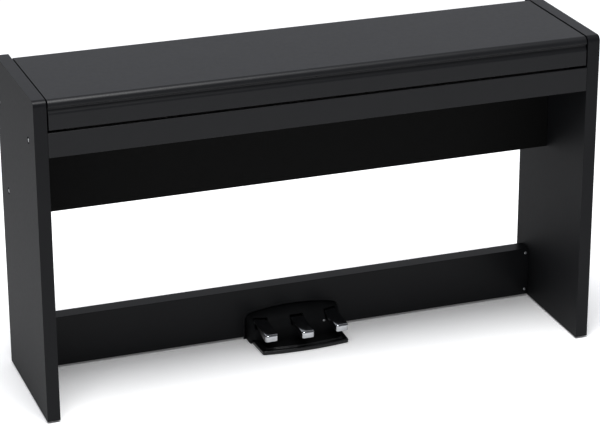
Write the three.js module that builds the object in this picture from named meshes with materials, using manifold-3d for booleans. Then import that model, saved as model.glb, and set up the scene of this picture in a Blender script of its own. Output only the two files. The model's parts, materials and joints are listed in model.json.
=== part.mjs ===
// Compact digital piano on a panel stand, with a one-piece key cover and a three-pedal unit.
// Millimetres, +Z up. The player sits on the -Y side; +X is to the player's right.
// Origin: on the floor, in the middle of the footprint.

import * as THREE from 'three';
import { mergeVertices } from 'three/addons/utils/BufferGeometryUtils.js';
import Module from 'manifold-3d';

const wasm = await Module();
wasm.setup();

// ---- driving dimensions -------------------------------------------------------------------

const WIDTH = 1355;
const DEPTH = 351;
const HEIGHT = 772;
const PANEL_T = 30; // side panels
const BOARD_T = 18; // every other board of the case
const GAP = 0.3; // between two pieces that touch

const FRONT = -DEPTH / 2;
const REAR = DEPTH / 2;
const INNER = WIDTH / 2 - PANEL_T; // inner face of a side panel
const REACH = INNER - GAP; // where a board between the panels ends

const NOSE_R = 14; // rounding of the lid's and the panels' top front edges
const EASE_R = 2; // rounding of the panels' other corners
const GLIDE_H = 4;
const GLIDE_R = 11;
const GLIDE_INSET = 26; // glide centre to the panel's front or rear edge

const BOLT_HOLE_R = 8.5; // shallow holes that the connecting bolts sit in
const BOLT_HOLE_DEPTH = 2.5;
const BOLT_PLACES = [[-117.5, 666], [157.5, 666], [107.5, 465]];

const RAIL_T = 22;
const RAIL_BOTTOM = 640;
const RAIL_TOP = 697;
const KEYBED_BOTTOM = 643;
const KEYBED_TOP = KEYBED_BOTTOM + BOARD_T;

const BOX_FRONT = 23.5; // front face of the speaker box
const BOX_BOTTOM = 434;
const REAR_BOARD_FRONT = 150;
const REAR_BOARD_TOP = 690;
const REAR_COVER_T = 3;
const REAR_COVER_BOTTOM = 440;
const REAR_COVER_TOP = 752;

const BEAM_FRONT = 104.3;
const BEAM_T = 40;
const BEAM_BOTTOM = 6;
const BEAM_TOP = 131;

const LID_TOP = HEIGHT - 1;
const LID_T = 17;
const LID_UNDER = LID_TOP - LID_T;
const LID_REAR = 151.5;
const LID_END_GAP = 3.3;
const LID_FRONT = FRONT + 0.5;
const GROOVE_TOP = 755; // finger groove across the lid's front, deepest near its top
const GROOVE_BOTTOM = 737;
const GROOVE_DEPTH = 6;
const LIP_T = 20;
const LIP_BOTTOM = 702.3;
const LID_PIVOT = { y: 100, z: 735, r: 4.7 };

const ARM_X = 632; // inner face of the hinge arm's upright
const ARM_T = 3;
const ARM_FOOT_IN = 610; // where the arm's foot under the lid ends
const ARM_HALF_LENGTH = 30;
const ARM_BOSS_R = 9;
const RUNNING_GAP = 0.3; // radial clearance round a pin

const NATURALS = 52;
const PITCH = 23.5;
const KEYS_LEFT = -NATURALS * PITCH / 2;
const KEY_SIDE_GAP = 0.5;
const NATURAL_TOP = 708;
const NATURAL_H = 20;
const NATURAL_FRONT = -149;
const NATURAL_REAR = 52;
const SHARP_TOP = NATURAL_TOP + 12;
const SHARP_BOTTOM = 696;
const SHARP_FRONT = -97;
const SHARP_W = 10.4;
const SHARP_STEP = 5; // behind this the sharps are as low as the naturals
const NOTCH_HALF = 6.6; // half of the slot that a sharp stands in
const NOTCH_FRONT = SHARP_FRONT - 2.5;
const COMB_REAR = 71.5;
const NATURAL_COMB = { front: 42, bottom: 684, top: 692 };
const SHARP_COMB = { front: 56, bottom: SHARP_BOTTOM, top: 706 };
const KEY_PIVOT = { y: 76, z: 690, r: 2 };
// Centres of an octave's five sharps, in natural pitches from the left of C.
const SHARP_CENTRES = [0.9, 2.1, 3.87, 5, 6.13];
const OCTAVES = 7;
const OCTAVE_NATURALS = 7;
const BOTTOM_NATURALS = 2; // the two naturals below the first C

const CHEEK_INNER = 612.8;
const CHEEK_TOP = 722.4;
const CONTROL_BOTTOM = 722.7;
const CONTROL_TOP = 734.7;
const CONTROL_FRONT = -2;
const CONTROL_END_REAR = 88;
const CONTROL_REAR = 112;
const CONTROL_NOTCH_X = 600; // outside this the panel stops short of the hinge arms
const CONTROL_ROW = 40; // the controls' line, along Y

const BOARD_Z = 713; // underside of the circuit board
const POWER_X = -570;
const VOLUME_X = -520;
const BUTTON_XS = [-460, -436, -412, -388];
const BUTTON_SIZE = [13, 8];
const FIT = 0.4; // clearance round a button

const SPEAKER_X = 430;
const SPEAKER_Y = 96;
const SPEAKER_HOLE_R = 46;
const GRILLE_R = 56;

const SOCKET_PLATE = { x0: -560, x1: -440, z0: 562, z1: 618 };
const SOCKET_R = 3.4; // round sockets

const PEDAL_UNIT_X = 10;
const PEDAL_PITCH = 90;
const PEDAL_W = 33;
const PEDAL_TOP = 60;
const PEDAL_REACH = 116; // the beam's face to the outer pedals' ends
const MIDDLE_EXTRA = 8;
const PEDAL_NOSE_H = 17;
const PEDAL_PLATE_T = 8;
const PEDAL_BODY_REAR = { y: BEAM_FRONT - 47, h: 10 }; // where the deep front part ends, and its height
const PEDAL_PIVOT = { y: BEAM_FRONT - 14, z: 49, r: 4 };
const PEDAL_HUB_R = 8.5;
const PEDAL_DROP = 6.5; // how much a pedal slopes down from its pivot to its nose
const PEDAL_TRAVEL_ROOM = 11.5; // under a pedal, in its slot in the cover
const PEDAL_SPRING_Y = BEAM_FRONT - 33;
const SPRING_R = 6.5;
const COVER_HALF = 122;
const COVER_END_TOP = 63;
const COVER_TOP = 76.5;
const COVER_WALL = 3;
const COVER_DEPTH = 46;
const COVER_SWEEP = 34; // height of the rounded sweep at the cover's front
const BASE_HALF = 114;
const BASE_TAPER = 4; // how much narrower the base is at the front, on each side
const BASE_DEPTH = 106;
const BASE_BOW = 18;
const BASE_BOTTOM = 1;
const BASE_FLOOR = 5;
const BASE_TOP = 13;
const BASE_RIM = 9;

// ---- materials ----------------------------------------------------------------------------

function material(color, roughness, metalness = 0) {
  return new THREE.MeshStandardMaterial({ color, roughness, metalness });
}

const finishes = {
  laminate: () => material(0x1d1d1f, 0.55),
  hardboard: () => material(0x3a2a1e, 0.9),
  steel: () => material(0x8d9095, 0.45, 0.9),
  chrome: () => material(0xe8e9ec, 0.12, 1),
  ivory: () => material(0xf1ede2, 0.3),
  ebony: () => material(0x111112, 0.4),
  plastic: () => material(0x17171a, 0.5),
  circuit: () => material(0x1e4a2c, 0.6),
  cone: () => material(0x222222, 0.85),
  glide: () => material(0x2a2a2c, 0.7),
};

// ---- geometry helpers ---------------------------------------------------------------------

const ALONG_X = new THREE.Matrix4().makeBasis(
  new THREE.Vector3(0, 1, 0), new THREE.Vector3(0, 0, 1), new THREE.Vector3(1, 0, 0));
const ALONG_Y = new THREE.Matrix4().makeBasis(
  new THREE.Vector3(1, 0, 0), new THREE.Vector3(0, 0, 1), new THREE.Vector3(0, -1, 0));

function extrude(shape, depth, curveSegments = 6) {
  return new THREE.ExtrudeGeometry(shape, { depth, bevelEnabled: false, curveSegments });
}

// A side-view outline (y, z) run along X from x0 to x1.
function alongX(shape, x0, x1, curveSegments) {
  return extrude(shape, x1 - x0, curveSegments).applyMatrix4(ALONG_X).translate(x0, 0, 0);
}

// A front-view outline (x, z) run along Y from y0 to y1.
function alongY(shape, y0, y1, curveSegments) {
  return extrude(shape, y1 - y0, curveSegments).applyMatrix4(ALONG_Y).translate(0, y1, 0);
}

// A top-view outline (x, y) run along Z from z0 to z1.
function alongZ(shape, z0, z1, curveSegments) {
  return extrude(shape, z1 - z0, curveSegments).translate(0, 0, z0);
}

function box([x0, x1], [y0, y1], [z0, z1]) {
  return new THREE.BoxGeometry(x1 - x0, y1 - y0, z1 - z0)
    .translate((x0 + x1) / 2, (y0 + y1) / 2, (z0 + z1) / 2);
}

function rodAlongX(r, x0, x1, y, z, sides = 16) {
  return new THREE.CylinderGeometry(r, r, x1 - x0, sides).rotateZ(Math.PI / 2)
    .translate((x0 + x1) / 2, y, z);
}

function rodAlongY(r, y0, y1, x, z, sides = 16) {
  return new THREE.CylinderGeometry(r, r, y1 - y0, sides).translate(x, (y0 + y1) / 2, z);
}

function rodAlongZ(r, z0, z1, x, y, sides = 16) {
  return new THREE.CylinderGeometry(r, r, z1 - z0, sides).rotateX(Math.PI / 2)
    .translate(x, y, (z0 + z1) / 2);
}

function lathe(points, sides = 20) {
  const profile = points.map(([r, z]) => new THREE.Vector2(r, z));
  return new THREE.LatheGeometry(profile, sides).rotateX(Math.PI / 2);
}

function polygon(points) {
  return new THREE.Shape(points.map(([u, v]) => new THREE.Vector2(u, v)));
}

function roundedRect(x0, x1, y0, y1, r) {
  const shape = new THREE.Shape();
  shape.absarc(x1 - r, y0 + r, r, -Math.PI / 2, 0);
  shape.absarc(x1 - r, y1 - r, r, 0, Math.PI / 2);
  shape.absarc(x0 + r, y1 - r, r, Math.PI / 2, Math.PI);
  shape.absarc(x0 + r, y0 + r, r, Math.PI, 1.5 * Math.PI);
  return shape;
}

// ---- joining and cutting ------------------------------------------------------------------

function toSolid(geometry) {
  const bare = geometry.clone();
  bare.deleteAttribute('normal');
  bare.deleteAttribute('uv');
  const merged = mergeVertices(bare, 1e-4);
  const vertProperties = new Float32Array(merged.attributes.position.array);
  const triVerts = new Uint32Array(merged.index.array);
  return new wasm.Manifold(new wasm.Mesh({ numProp: 3, vertProperties, triVerts }));
}

function toGeometry(solid) {
  const { vertProperties, triVerts } = solid.getMesh();
  const geometry = new THREE.BufferGeometry();
  geometry.setAttribute('position', new THREE.BufferAttribute(new Float32Array(vertProperties), 3));
  geometry.setIndex(new THREE.BufferAttribute(new Uint32Array(triVerts), 1));
  geometry.computeVertexNormals();
  return geometry;
}

function join(...geometries) {
  return toGeometry(geometries.map(toSolid).reduce((whole, piece) => whole.add(piece)));
}

function cut(geometry, ...tools) {
  return toGeometry(tools.map(toSolid).reduce((whole, tool) => whole.subtract(tool), toSolid(geometry)));
}

function overlap(first, second) {
  return toGeometry(toSolid(first).intersect(toSolid(second)));
}

// ---- the assembly -------------------------------------------------------------------------

const piano = new THREE.Group();

function add(name, geometry, finish, position = [0, 0, 0], parent = piano) {
  const mesh = new THREE.Mesh(geometry, finishes[finish]());
  mesh.name = name;
  mesh.position.set(...position);
  parent.add(mesh);
  return mesh;
}

// A piece of the right-hand side and its mirror image on the left.
function addPair(name, geometry, finish) {
  add(`${name}_right`, geometry, finish);
  const mirrored = toGeometry(toSolid(geometry).mirror([1, 0, 0]));
  add(`${name}_left`, mirrored, finish);
}

// ---- case and stand -----------------------------------------------------------------------

function sidePanelOutline() {
  const shape = new THREE.Shape();
  shape.absarc(REAR - EASE_R, GLIDE_H + EASE_R, EASE_R, -Math.PI / 2, 0);
  shape.absarc(REAR - EASE_R, HEIGHT - EASE_R, EASE_R, 0, Math.PI / 2);
  shape.absarc(FRONT + NOSE_R, HEIGHT - NOSE_R, NOSE_R, Math.PI / 2, Math.PI);
  shape.absarc(FRONT + EASE_R, GLIDE_H + EASE_R, EASE_R, Math.PI, 1.5 * Math.PI);
  return shape;
}

function buildSidePanels() {
  const board = alongX(sidePanelOutline(), INNER, INNER + PANEL_T);
  const holes = BOLT_PLACES.map(([y, z]) =>
    rodAlongX(BOLT_HOLE_R, INNER + PANEL_T - BOLT_HOLE_DEPTH, INNER + PANEL_T + 1, y, z));
  addPair('side_panel', cut(board, ...holes), 'laminate');
}

function buildGlides() {
  const glide = lathe([[0, 0], [GLIDE_R - 4, 0], [GLIDE_R - 1, 1], [GLIDE_R, 2.4],
    [GLIDE_R, GLIDE_H - GAP], [0, GLIDE_H - GAP]], 12);
  const x = INNER + PANEL_T / 2;
  const y = REAR - GLIDE_INSET;
  const corners = { front_left: [-x, -y], front_right: [x, -y], rear_left: [-x, y], rear_right: [x, y] };
  for (const [corner, place] of Object.entries(corners)) {
    add(`glide_${corner}`, glide.clone(), 'glide', [...place, 0]);
  }
}

function addBoard(name, ys, zs, finish = 'laminate') {
  add(name, box([-REACH, REACH], ys, zs), finish);
}

function buildBoards() {
  const railRear = FRONT + RAIL_T;
  addBoard('front_rail', [FRONT, railRear], [RAIL_BOTTOM, RAIL_TOP]);
  addBoard('keybed', [railRear + GAP, REAR_BOARD_FRONT - GAP], [KEYBED_BOTTOM, KEYBED_TOP]);
  addBoard('speaker_box_front', [BOX_FRONT, BOX_FRONT + BOARD_T], [BOX_BOTTOM, KEYBED_BOTTOM - GAP]);
  addBoard('lower_beam', [BEAM_FRONT, BEAM_FRONT + BEAM_T], [BEAM_BOTTOM, BEAM_TOP]);
}

function buildSpeakerBoxBottom() {
  const ys = [BOX_FRONT + BOARD_T + GAP, REAR_BOARD_FRONT - GAP];
  const zs = [BOX_BOTTOM, BOX_BOTTOM + BOARD_T];
  const holes = [-SPEAKER_X, SPEAKER_X].map((x) =>
    rodAlongZ(SPEAKER_HOLE_R, zs[0] - 1, zs[1] + 1, x, SPEAKER_Y, 20));
  add('speaker_box_bottom', cut(box([-REACH, REACH], ys, zs), ...holes), 'laminate');
}

function buildSpeakers() {
  const seat = BOX_BOTTOM + BOARD_T + GAP;
  const driver = lathe([[0, 12], [15, 12], [43, 3], [44, 0], [52, 0], [52, 3], [46, 5], [24, 28],
    [37, 30], [37, 50], [0, 50]], 18);
  const disc = new THREE.Shape().absarc(0, 0, GRILLE_R, 0, 2 * Math.PI);
  const slots = 9;
  const slotPitch = 10;
  for (let i = 0; i < slots; i += 1) {
    const y = (i - (slots - 1) / 2) * slotPitch;
    const half = Math.sqrt((GRILLE_R - 9) ** 2 - y * y);
    disc.holes.push(polygon([[-half, y - 3], [-half, y + 3], [half, y + 3], [half, y - 3]]));
  }
  const grille = alongZ(disc, -2.3, 0, 12);
  for (const [side, x] of [['left', -SPEAKER_X], ['right', SPEAKER_X]]) {
    add(`speaker_${side}`, driver.clone(), 'cone', [x, SPEAKER_Y, seat]);
    add(`speaker_grille_${side}`, grille.clone(), 'plastic', [x, SPEAKER_Y, BOX_BOTTOM - GAP]);
  }
}

function buildRear() {
  const { x0, x1, z0, z1 } = SOCKET_PLATE;
  const edge = 8; // how far the socket plate laps over the board's hole
  const boardRear = REAR_BOARD_FRONT + BOARD_T;
  const board = box([-REACH, REACH], [REAR_BOARD_FRONT, boardRear], [BOX_BOTTOM, REAR_BOARD_TOP]);
  const hole = box([x0 + edge, x1 - edge], [REAR_BOARD_FRONT - 1, boardRear + 1], [z0 + edge, z1 - edge]);
  add('rear_board', cut(board, hole), 'laminate');

  const coverFront = boardRear + GAP;
  const cover = box([-REACH + 1, REACH - 1], [coverFront, coverFront + REAR_COVER_T],
    [REAR_COVER_BOTTOM, REAR_COVER_TOP]);
  const window = box([x0 - 1, x1 + 1], [coverFront - 1, coverFront + REAR_COVER_T + 1], [z0 - 1, z1 + 1]);
  add('rear_cover', cut(cover, window), 'hardboard');

  const middle = (z0 + z1) / 2;
  const plate = box([x0, x1], [coverFront, coverFront + 2.5], [z0, z1]);
  const shell = box([x0 + edge + 2, x1 - edge - 2], [boardRear - 14, coverFront + 1],
    [z0 + edge + 2, z1 - edge - 2]);
  const mouth = coverFront + 4;
  const sockets = [
    rodAlongY(SOCKET_R, boardRear - 10, mouth, x0 + 26, middle),
    box([x0 + 50, x0 + 66], [boardRear - 8, mouth], [middle - 5, middle + 5]),
    rodAlongY(SOCKET_R, boardRear - 10, mouth, x0 + 92, middle),
  ];
  add('socket_plate', cut(join(plate, shell), ...sockets), 'plastic');
}

function buildHeadphoneBox() {
  const top = KEYBED_BOTTOM - GAP;
  const middle = -565;
  const ys = [-103, -47];
  const body = box([middle - 35, middle + 35], ys, [top - 26, top]);
  const jacks = [-18, 18].map((dx) =>
    rodAlongY(SOCKET_R, ys[0] - 1, ys[0] + 16, middle + dx, top - 14));
  add('headphone_box', cut(body, ...jacks), 'plastic');
}

// ---- keyboard -----------------------------------------------------------------------------

// Every sharp's centre, with the octave group that it moves with.
function sharpPlaces() {
  const places = [{ x: KEYS_LEFT + 1.13 * PITCH, octave: 0 }];
  for (let octave = 0; octave < OCTAVES; octave += 1) {
    const start = KEYS_LEFT + (BOTTOM_NATURALS + octave * OCTAVE_NATURALS) * PITCH;
    SHARP_CENTRES.forEach((centre) => places.push({ x: start + centre * PITCH, octave }));
  }
  return places;
}

function naturalOctave(index) {
  const octave = Math.floor((index - BOTTOM_NATURALS) / OCTAVE_NATURALS);
  return Math.min(Math.max(octave, 0), OCTAVES - 1);
}

// One natural: a wide head, and a tail narrowed on each side that has a sharp.
function naturalKey(index, sharps) {
  const left = KEYS_LEFT + index * PITCH + KEY_SIDE_GAP;
  const right = left + PITCH - 2 * KEY_SIDE_GAP;
  const tailLeft = Math.max(left, ...sharps.filter(({ x }) => x < (left + right) / 2)
    .map(({ x }) => x + NOTCH_HALF));
  const tailRight = Math.min(right, ...sharps.filter(({ x }) => x > (left + right) / 2)
    .map(({ x }) => x - NOTCH_HALF));
  const points = [[left, NATURAL_FRONT], [right, NATURAL_FRONT]];
  if (tailRight < right) points.push([right, NOTCH_FRONT], [tailRight, NOTCH_FRONT]);
  points.push([tailRight, NATURAL_REAR], [tailLeft, NATURAL_REAR]);
  if (tailLeft > left) points.push([tailLeft, NOTCH_FRONT], [left, NOTCH_FRONT]);
  return alongZ(polygon(points), NATURAL_TOP - NATURAL_H, NATURAL_TOP);
}

function sharpKey(x) {
  const slope = 4;
  const outline = polygon([[SHARP_FRONT, SHARP_BOTTOM], [COMB_REAR, SHARP_BOTTOM],
    [COMB_REAR, SHARP_COMB.top], [SHARP_STEP, SHARP_COMB.top], [SHARP_STEP, SHARP_TOP],
    [SHARP_FRONT + slope, SHARP_TOP], [SHARP_FRONT, SHARP_TOP - 3]]);
  return alongX(outline, x - SHARP_W / 2, x + SHARP_W / 2);
}

function comb({ front, bottom, top }, left, right) {
  return box([left, right], [front, COMB_REAR], [bottom, top]);
}

function octaveEnds(octave) {
  const first = octave === 0 ? 0 : BOTTOM_NATURALS + octave * OCTAVE_NATURALS;
  const last = octave === OCTAVES - 1 ? NATURALS : BOTTOM_NATURALS + (octave + 1) * OCTAVE_NATURALS;
  return { first, last };
}

// The keys of an octave hang on one rear comb, and turn on the pivot rod behind it.
function buildKeys() {
  const sharps = sharpPlaces();
  for (let octave = 0; octave < OCTAVES; octave += 1) {
    const { first, last } = octaveEnds(octave);
    const left = KEYS_LEFT + first * PITCH + KEY_SIDE_GAP;
    const right = KEYS_LEFT + last * PITCH - KEY_SIDE_GAP;
    const naturals = [];
    for (let index = 0; index < NATURALS; index += 1) {
      if (naturalOctave(index) === octave) naturals.push(naturalKey(index, sharps));
    }
    add(`naturals_octave_${octave + 1}`, join(...naturals, comb(NATURAL_COMB, left, right)), 'ivory');

    const own = sharps.filter((sharp) => sharp.octave === octave).map(({ x }) => sharpKey(x));
    add(`sharps_octave_${octave + 1}`, join(...own, comb(SHARP_COMB, left + 4, right - 4)), 'ebony');
  }
}

// Folded steel tray that carries the keys, with lugs for the pivot rod.
function buildKeyChassis() {
  const half = -KEYS_LEFT;
  const base = KEYBED_TOP + GAP;
  const sheet = 2;
  const outline = polygon([[-138, base], [92, base], [92, 704], [84, 704], [84, 702], [90, 702],
    [90, base + sheet], [-122, base + sheet], [-122, 672], [-124, 672], [-124, base + sheet],
    [-138, base + sheet]]);
  const { y, z, r } = KEY_PIVOT;
  const lugs = [];
  const lugCount = 5;
  for (let i = 0; i < lugCount; i += 1) {
    const x = (i / (lugCount - 1) - 0.5) * 2 * (half - 20);
    lugs.push(box([x - 3, x + 3], [COMB_REAR + 0.7, 91], [z - 6, z + 6]));
  }
  const bore = rodAlongX(r + RUNNING_GAP, -half, half, y, z, 12);
  add('key_chassis', cut(join(alongX(outline, -half + 1, half - 1), ...lugs), bore), 'steel');
  add('key_pivot_rod', rodAlongX(r, -half + 4, half - 4, y, z, 12), 'steel');
}

function buildCheeks() {
  const cheek = box([CHEEK_INNER, REACH], [FRONT + RAIL_T + GAP, 104], [KEYBED_TOP + GAP, CHEEK_TOP]);
  addPair('cheek_block', cheek, 'laminate');
}

// ---- control panel ------------------------------------------------------------------------

function controlPanelOutline() {
  const x = REACH;
  const inner = CONTROL_NOTCH_X;
  return polygon([[-x, CONTROL_FRONT], [x, CONTROL_FRONT], [x, CONTROL_END_REAR],
    [inner, CONTROL_END_REAR], [inner, CONTROL_REAR], [-inner, CONTROL_REAR],
    [-inner, CONTROL_END_REAR], [-x, CONTROL_END_REAR]]);
}

function buttonOutline(grow) {
  const [w, h] = BUTTON_SIZE;
  return roundedRect(-w / 2 - grow, w / 2 + grow, -h / 2 - grow, h / 2 + grow, 2 + grow);
}

function buildControlPanel() {
  const zs = [CONTROL_BOTTOM - 1, CONTROL_TOP + 1];
  const tools = BUTTON_XS.map((x) => alongZ(buttonOutline(FIT), ...zs, 2).translate(x, CONTROL_ROW, 0));
  tools.push(rodAlongZ(7 + FIT, ...zs, POWER_X, CONTROL_ROW));
  tools.push(rodAlongZ(3 + FIT, ...zs, VOLUME_X, CONTROL_ROW, 12));
  const panel = alongZ(controlPanelOutline(), CONTROL_BOTTOM, CONTROL_TOP);
  add('control_panel', cut(panel, ...tools), 'laminate');
}

// A button stands 2 mm proud, and a flange under the panel keeps it in.
function buildButtons() {
  const top = CONTROL_TOP + 2;
  const flange = [CONTROL_BOTTOM - 3.2, CONTROL_BOTTOM - 1.2];
  const button = join(alongZ(buttonOutline(0), flange[0], top, 2), alongZ(buttonOutline(1.6), ...flange, 2));
  BUTTON_XS.forEach((x, i) => {
    add(`sound_button_${i + 1}`, button.clone(), 'plastic', [x, CONTROL_ROW, 0]);
  });
  const power = lathe([[0, flange[0]], [9, flange[0]], [9, flange[1]], [7, flange[1]], [7, top - 0.6],
    [6.4, top], [0, top]]);
  add('power_button', power, 'plastic', [POWER_X, CONTROL_ROW, 0]);
}

function buildVolumeKnob() {
  const seat = CONTROL_TOP + 0.6;
  const top = seat + 10;
  const body = lathe([[0, BOARD_Z + 3], [3, BOARD_Z + 3], [3, seat], [11, seat], [10.4, top - 1],
    [9.4, top], [0, top]], 24);
  const pointer = box([-0.6, 0.6], [3, 12], [top - 1.2, top + 1]);
  add('volume_knob', cut(body, pointer), 'plastic', [VOLUME_X, CONTROL_ROW, 0]);
}

function buildMainBoard() {
  const top = BOARD_Z + 1.6;
  const sheet = box([-590, -250], [14, 80], [BOARD_Z, top]);
  const switchOn = (x, half) => box([x - half, x + half], [CONTROL_ROW - half, CONTROL_ROW + half],
    [top - 0.5, top + 1.8]);
  const switches = [switchOn(POWER_X, 5), ...BUTTON_XS.map((x) => switchOn(x, 3))];
  const processor = box([-340, -312], [30, 58], [top - 0.5, top + 2.4]);
  const connector = box([-300, -264], [64, 74], [top - 0.5, top + 5]);
  const shaftHole = rodAlongZ(3 + FIT, BOARD_Z - 1, top + 1, VOLUME_X, CONTROL_ROW, 12);
  const parts = join(sheet, ...switches, processor, connector);
  add('main_board', cut(parts, shaftHole), 'circuit');
}

// Low strip that stops sheet music sliding off the panel; the music leans on the open lid.
function buildMusicLedge() {
  const foot = CONTROL_TOP + GAP;
  const outline = new THREE.Shape();
  outline.moveTo(60, foot);
  outline.lineTo(72, foot);
  outline.lineTo(72, foot + 2);
  outline.lineTo(67, foot + 2.6);
  outline.lineTo(67, foot + 7.5);
  outline.absarc(64.5, foot + 7.5, 2.5, 0, Math.PI);
  outline.lineTo(60, foot + 2);
  add('music_ledge', alongX(outline, -280, 280), 'plastic');
}

// ---- lid ----------------------------------------------------------------------------------

// Section of the lid: rounded rear edge, flat top, rounded nose, finger groove and lip.
function lidOutline() {
  const y = LID_FRONT;
  const deep = LID_FRONT + GROOVE_DEPTH;
  const edgeR = LID_T / 2;
  const shape = new THREE.Shape();
  shape.moveTo(LID_FRONT + LIP_T, LID_UNDER);
  shape.lineTo(LID_REAR - edgeR, LID_UNDER);
  shape.absarc(LID_REAR - edgeR, LID_UNDER + edgeR, edgeR, -Math.PI / 2, Math.PI / 2);
  shape.absarc(LID_FRONT + NOSE_R, LID_TOP - NOSE_R, NOSE_R, Math.PI / 2, Math.PI);
  shape.quadraticCurveTo(y, GROOVE_TOP, y + 2, GROOVE_TOP - 0.5);
  shape.bezierCurveTo(deep + 1, GROOVE_TOP - 1.5, deep - 0.6, GROOVE_TOP - 7, y + 3.2, GROOVE_TOP - 10);
  shape.bezierCurveTo(y + 1.2, GROOVE_TOP - 13, y, GROOVE_BOTTOM + 3, y, GROOVE_BOTTOM);
  shape.lineTo(LID_FRONT, LIP_BOTTOM + 1.5);
  shape.lineTo(LID_FRONT + 1.5, LIP_BOTTOM);
  shape.lineTo(LID_FRONT + LIP_T, LIP_BOTTOM);
  return shape;
}

function buildLid() {
  const half = INNER - LID_END_GAP;
  add('lid', alongX(lidOutline(), -half, half, 8), 'laminate');
}

// Steel angle under each end of the lid, with a boss that turns on the pin in the side panel.
function buildLidHinges() {
  const { y, z, r } = LID_PIVOT;
  const seat = LID_UNDER - GAP;
  const upright = join(
    box([ARM_X, ARM_X + ARM_T], [y - ARM_BOSS_R, y + ARM_BOSS_R], [z, seat]),
    rodAlongX(ARM_BOSS_R, ARM_X, ARM_X + ARM_T, y, z, 20));
  const foot = box([ARM_FOOT_IN, ARM_X + ARM_T], [y - ARM_HALF_LENGTH, y + ARM_HALF_LENGTH],
    [seat - ARM_T, seat]);
  const bore = rodAlongX(r + RUNNING_GAP, ARM_X - 1, ARM_X + ARM_T + 1, y, z, 20);
  addPair('lid_arm', cut(join(upright, foot), bore), 'steel');

  const pin = join(
    rodAlongX(r, ARM_X - 2, REACH, y, z, 20),
    rodAlongX(10, REACH - 4, REACH, y, z, 20),
    rodAlongX(7, ARM_X - 3.5, ARM_X - 0.5, y, z, 20));
  addPair('lid_pin', pin, 'steel');
}

// ---- pedal unit ---------------------------------------------------------------------------

const pedalUnit = new THREE.Group();
pedalUnit.position.set(PEDAL_UNIT_X, 0, 0);
piano.add(pedalUnit);

// Top view of the base plate: straight sides that close in a little, and a bowed front edge.
function baseOutline(inset, rear) {
  const half = BASE_HALF - inset;
  const frontHalf = half - BASE_TAPER;
  const corner = BEAM_FRONT - BASE_DEPTH + inset;
  const bow = corner - BASE_BOW;
  const shape = new THREE.Shape();
  shape.moveTo(half, rear);
  shape.lineTo(-half, rear);
  shape.lineTo(-frontHalf, corner);
  shape.quadraticCurveTo(0, bow, frontHalf, corner);
  return shape;
}

function buildPedalBase() {
  const rear = BEAM_FRONT - GAP;
  const tray = alongZ(baseOutline(0, rear), BASE_BOTTOM, BASE_TOP, 10);
  const hollow = alongZ(baseOutline(BASE_RIM, rear - BASE_RIM), BASE_FLOOR, BASE_TOP + 1, 10);
  const { y, z, r } = PEDAL_PIVOT;
  const outer = BASE_HALF - 4;
  const postXs = [-outer, -PEDAL_PITCH / 2, PEDAL_PITCH / 2, outer];
  const posts = postXs.map((x) => box([x - 3, x + 3], [y - 8, y + 8], [BASE_FLOOR - 1, z + 6.5]));
  const bore = rodAlongX(r + RUNNING_GAP, -COVER_HALF, COVER_HALF, y, z);
  add('pedal_base', cut(join(cut(tray, hollow), ...posts), bore), 'plastic', [0, 0, 0], pedalUnit);
  add('pedal_shaft', rodAlongX(r, -outer - 6, outer + 6, y, z), 'steel', [0, 0, 0], pedalUnit);
}

// Side view of the cover: flat on top, then one round sweep down to the base.
function coverProfile(inset, foot) {
  const shape = new THREE.Shape();
  const rear = BEAM_FRONT - GAP + (inset > 0 ? 5 : 0);
  const front = BEAM_FRONT - COVER_DEPTH + inset;
  const top = COVER_TOP - inset;
  shape.moveTo(rear, foot);
  shape.lineTo(rear, top);
  shape.bezierCurveTo(rear - COVER_DEPTH * 0.42, top, front, top - 6, front, top - COVER_SWEEP);
  shape.lineTo(front, foot);
  return shape;
}

// Front view of the cover: upright ends under a shallow arch.
function coverArch(inset, foot) {
  const half = COVER_HALF - inset;
  const shape = new THREE.Shape();
  shape.moveTo(half, foot);
  shape.lineTo(half, COVER_END_TOP - inset);
  shape.quadraticCurveTo(0, 2 * (COVER_TOP - inset) - (COVER_END_TOP - inset), -half, COVER_END_TOP - inset);
  shape.lineTo(-half, foot);
  return shape;
}

function coverBlock(inset, foot) {
  const half = COVER_HALF - inset;
  const swept = alongX(coverProfile(inset, foot), -half, half, 8);
  const arched = alongY(coverArch(inset, foot), -40, REAR, 10);
  return overlap(swept, arched);
}

function buildPedalCover() {
  const foot = BASE_TOP + GAP;
  const under = PEDAL_TOP - PEDAL_PLATE_T - PEDAL_TRAVEL_ROOM;
  const slots = [-1, 0, 1].map((step) => {
    const x = step * PEDAL_PITCH;
    const half = PEDAL_W / 2 + 2;
    return box([x - half, x + half], [0, BEAM_FRONT - 20], [under, PEDAL_TOP + 2.5]);
  });
  const shell = cut(coverBlock(0, foot), coverBlock(COVER_WALL, foot - 1), ...slots);
  add('pedal_cover', shell, 'plastic', [0, 0, 0], pedalUnit);
}

// How much lower a pedal is at a place in front of its pivot.
function pedalDrop(y) {
  return PEDAL_DROP * (PEDAL_PIVOT.y - y) / PEDAL_REACH;
}

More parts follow.
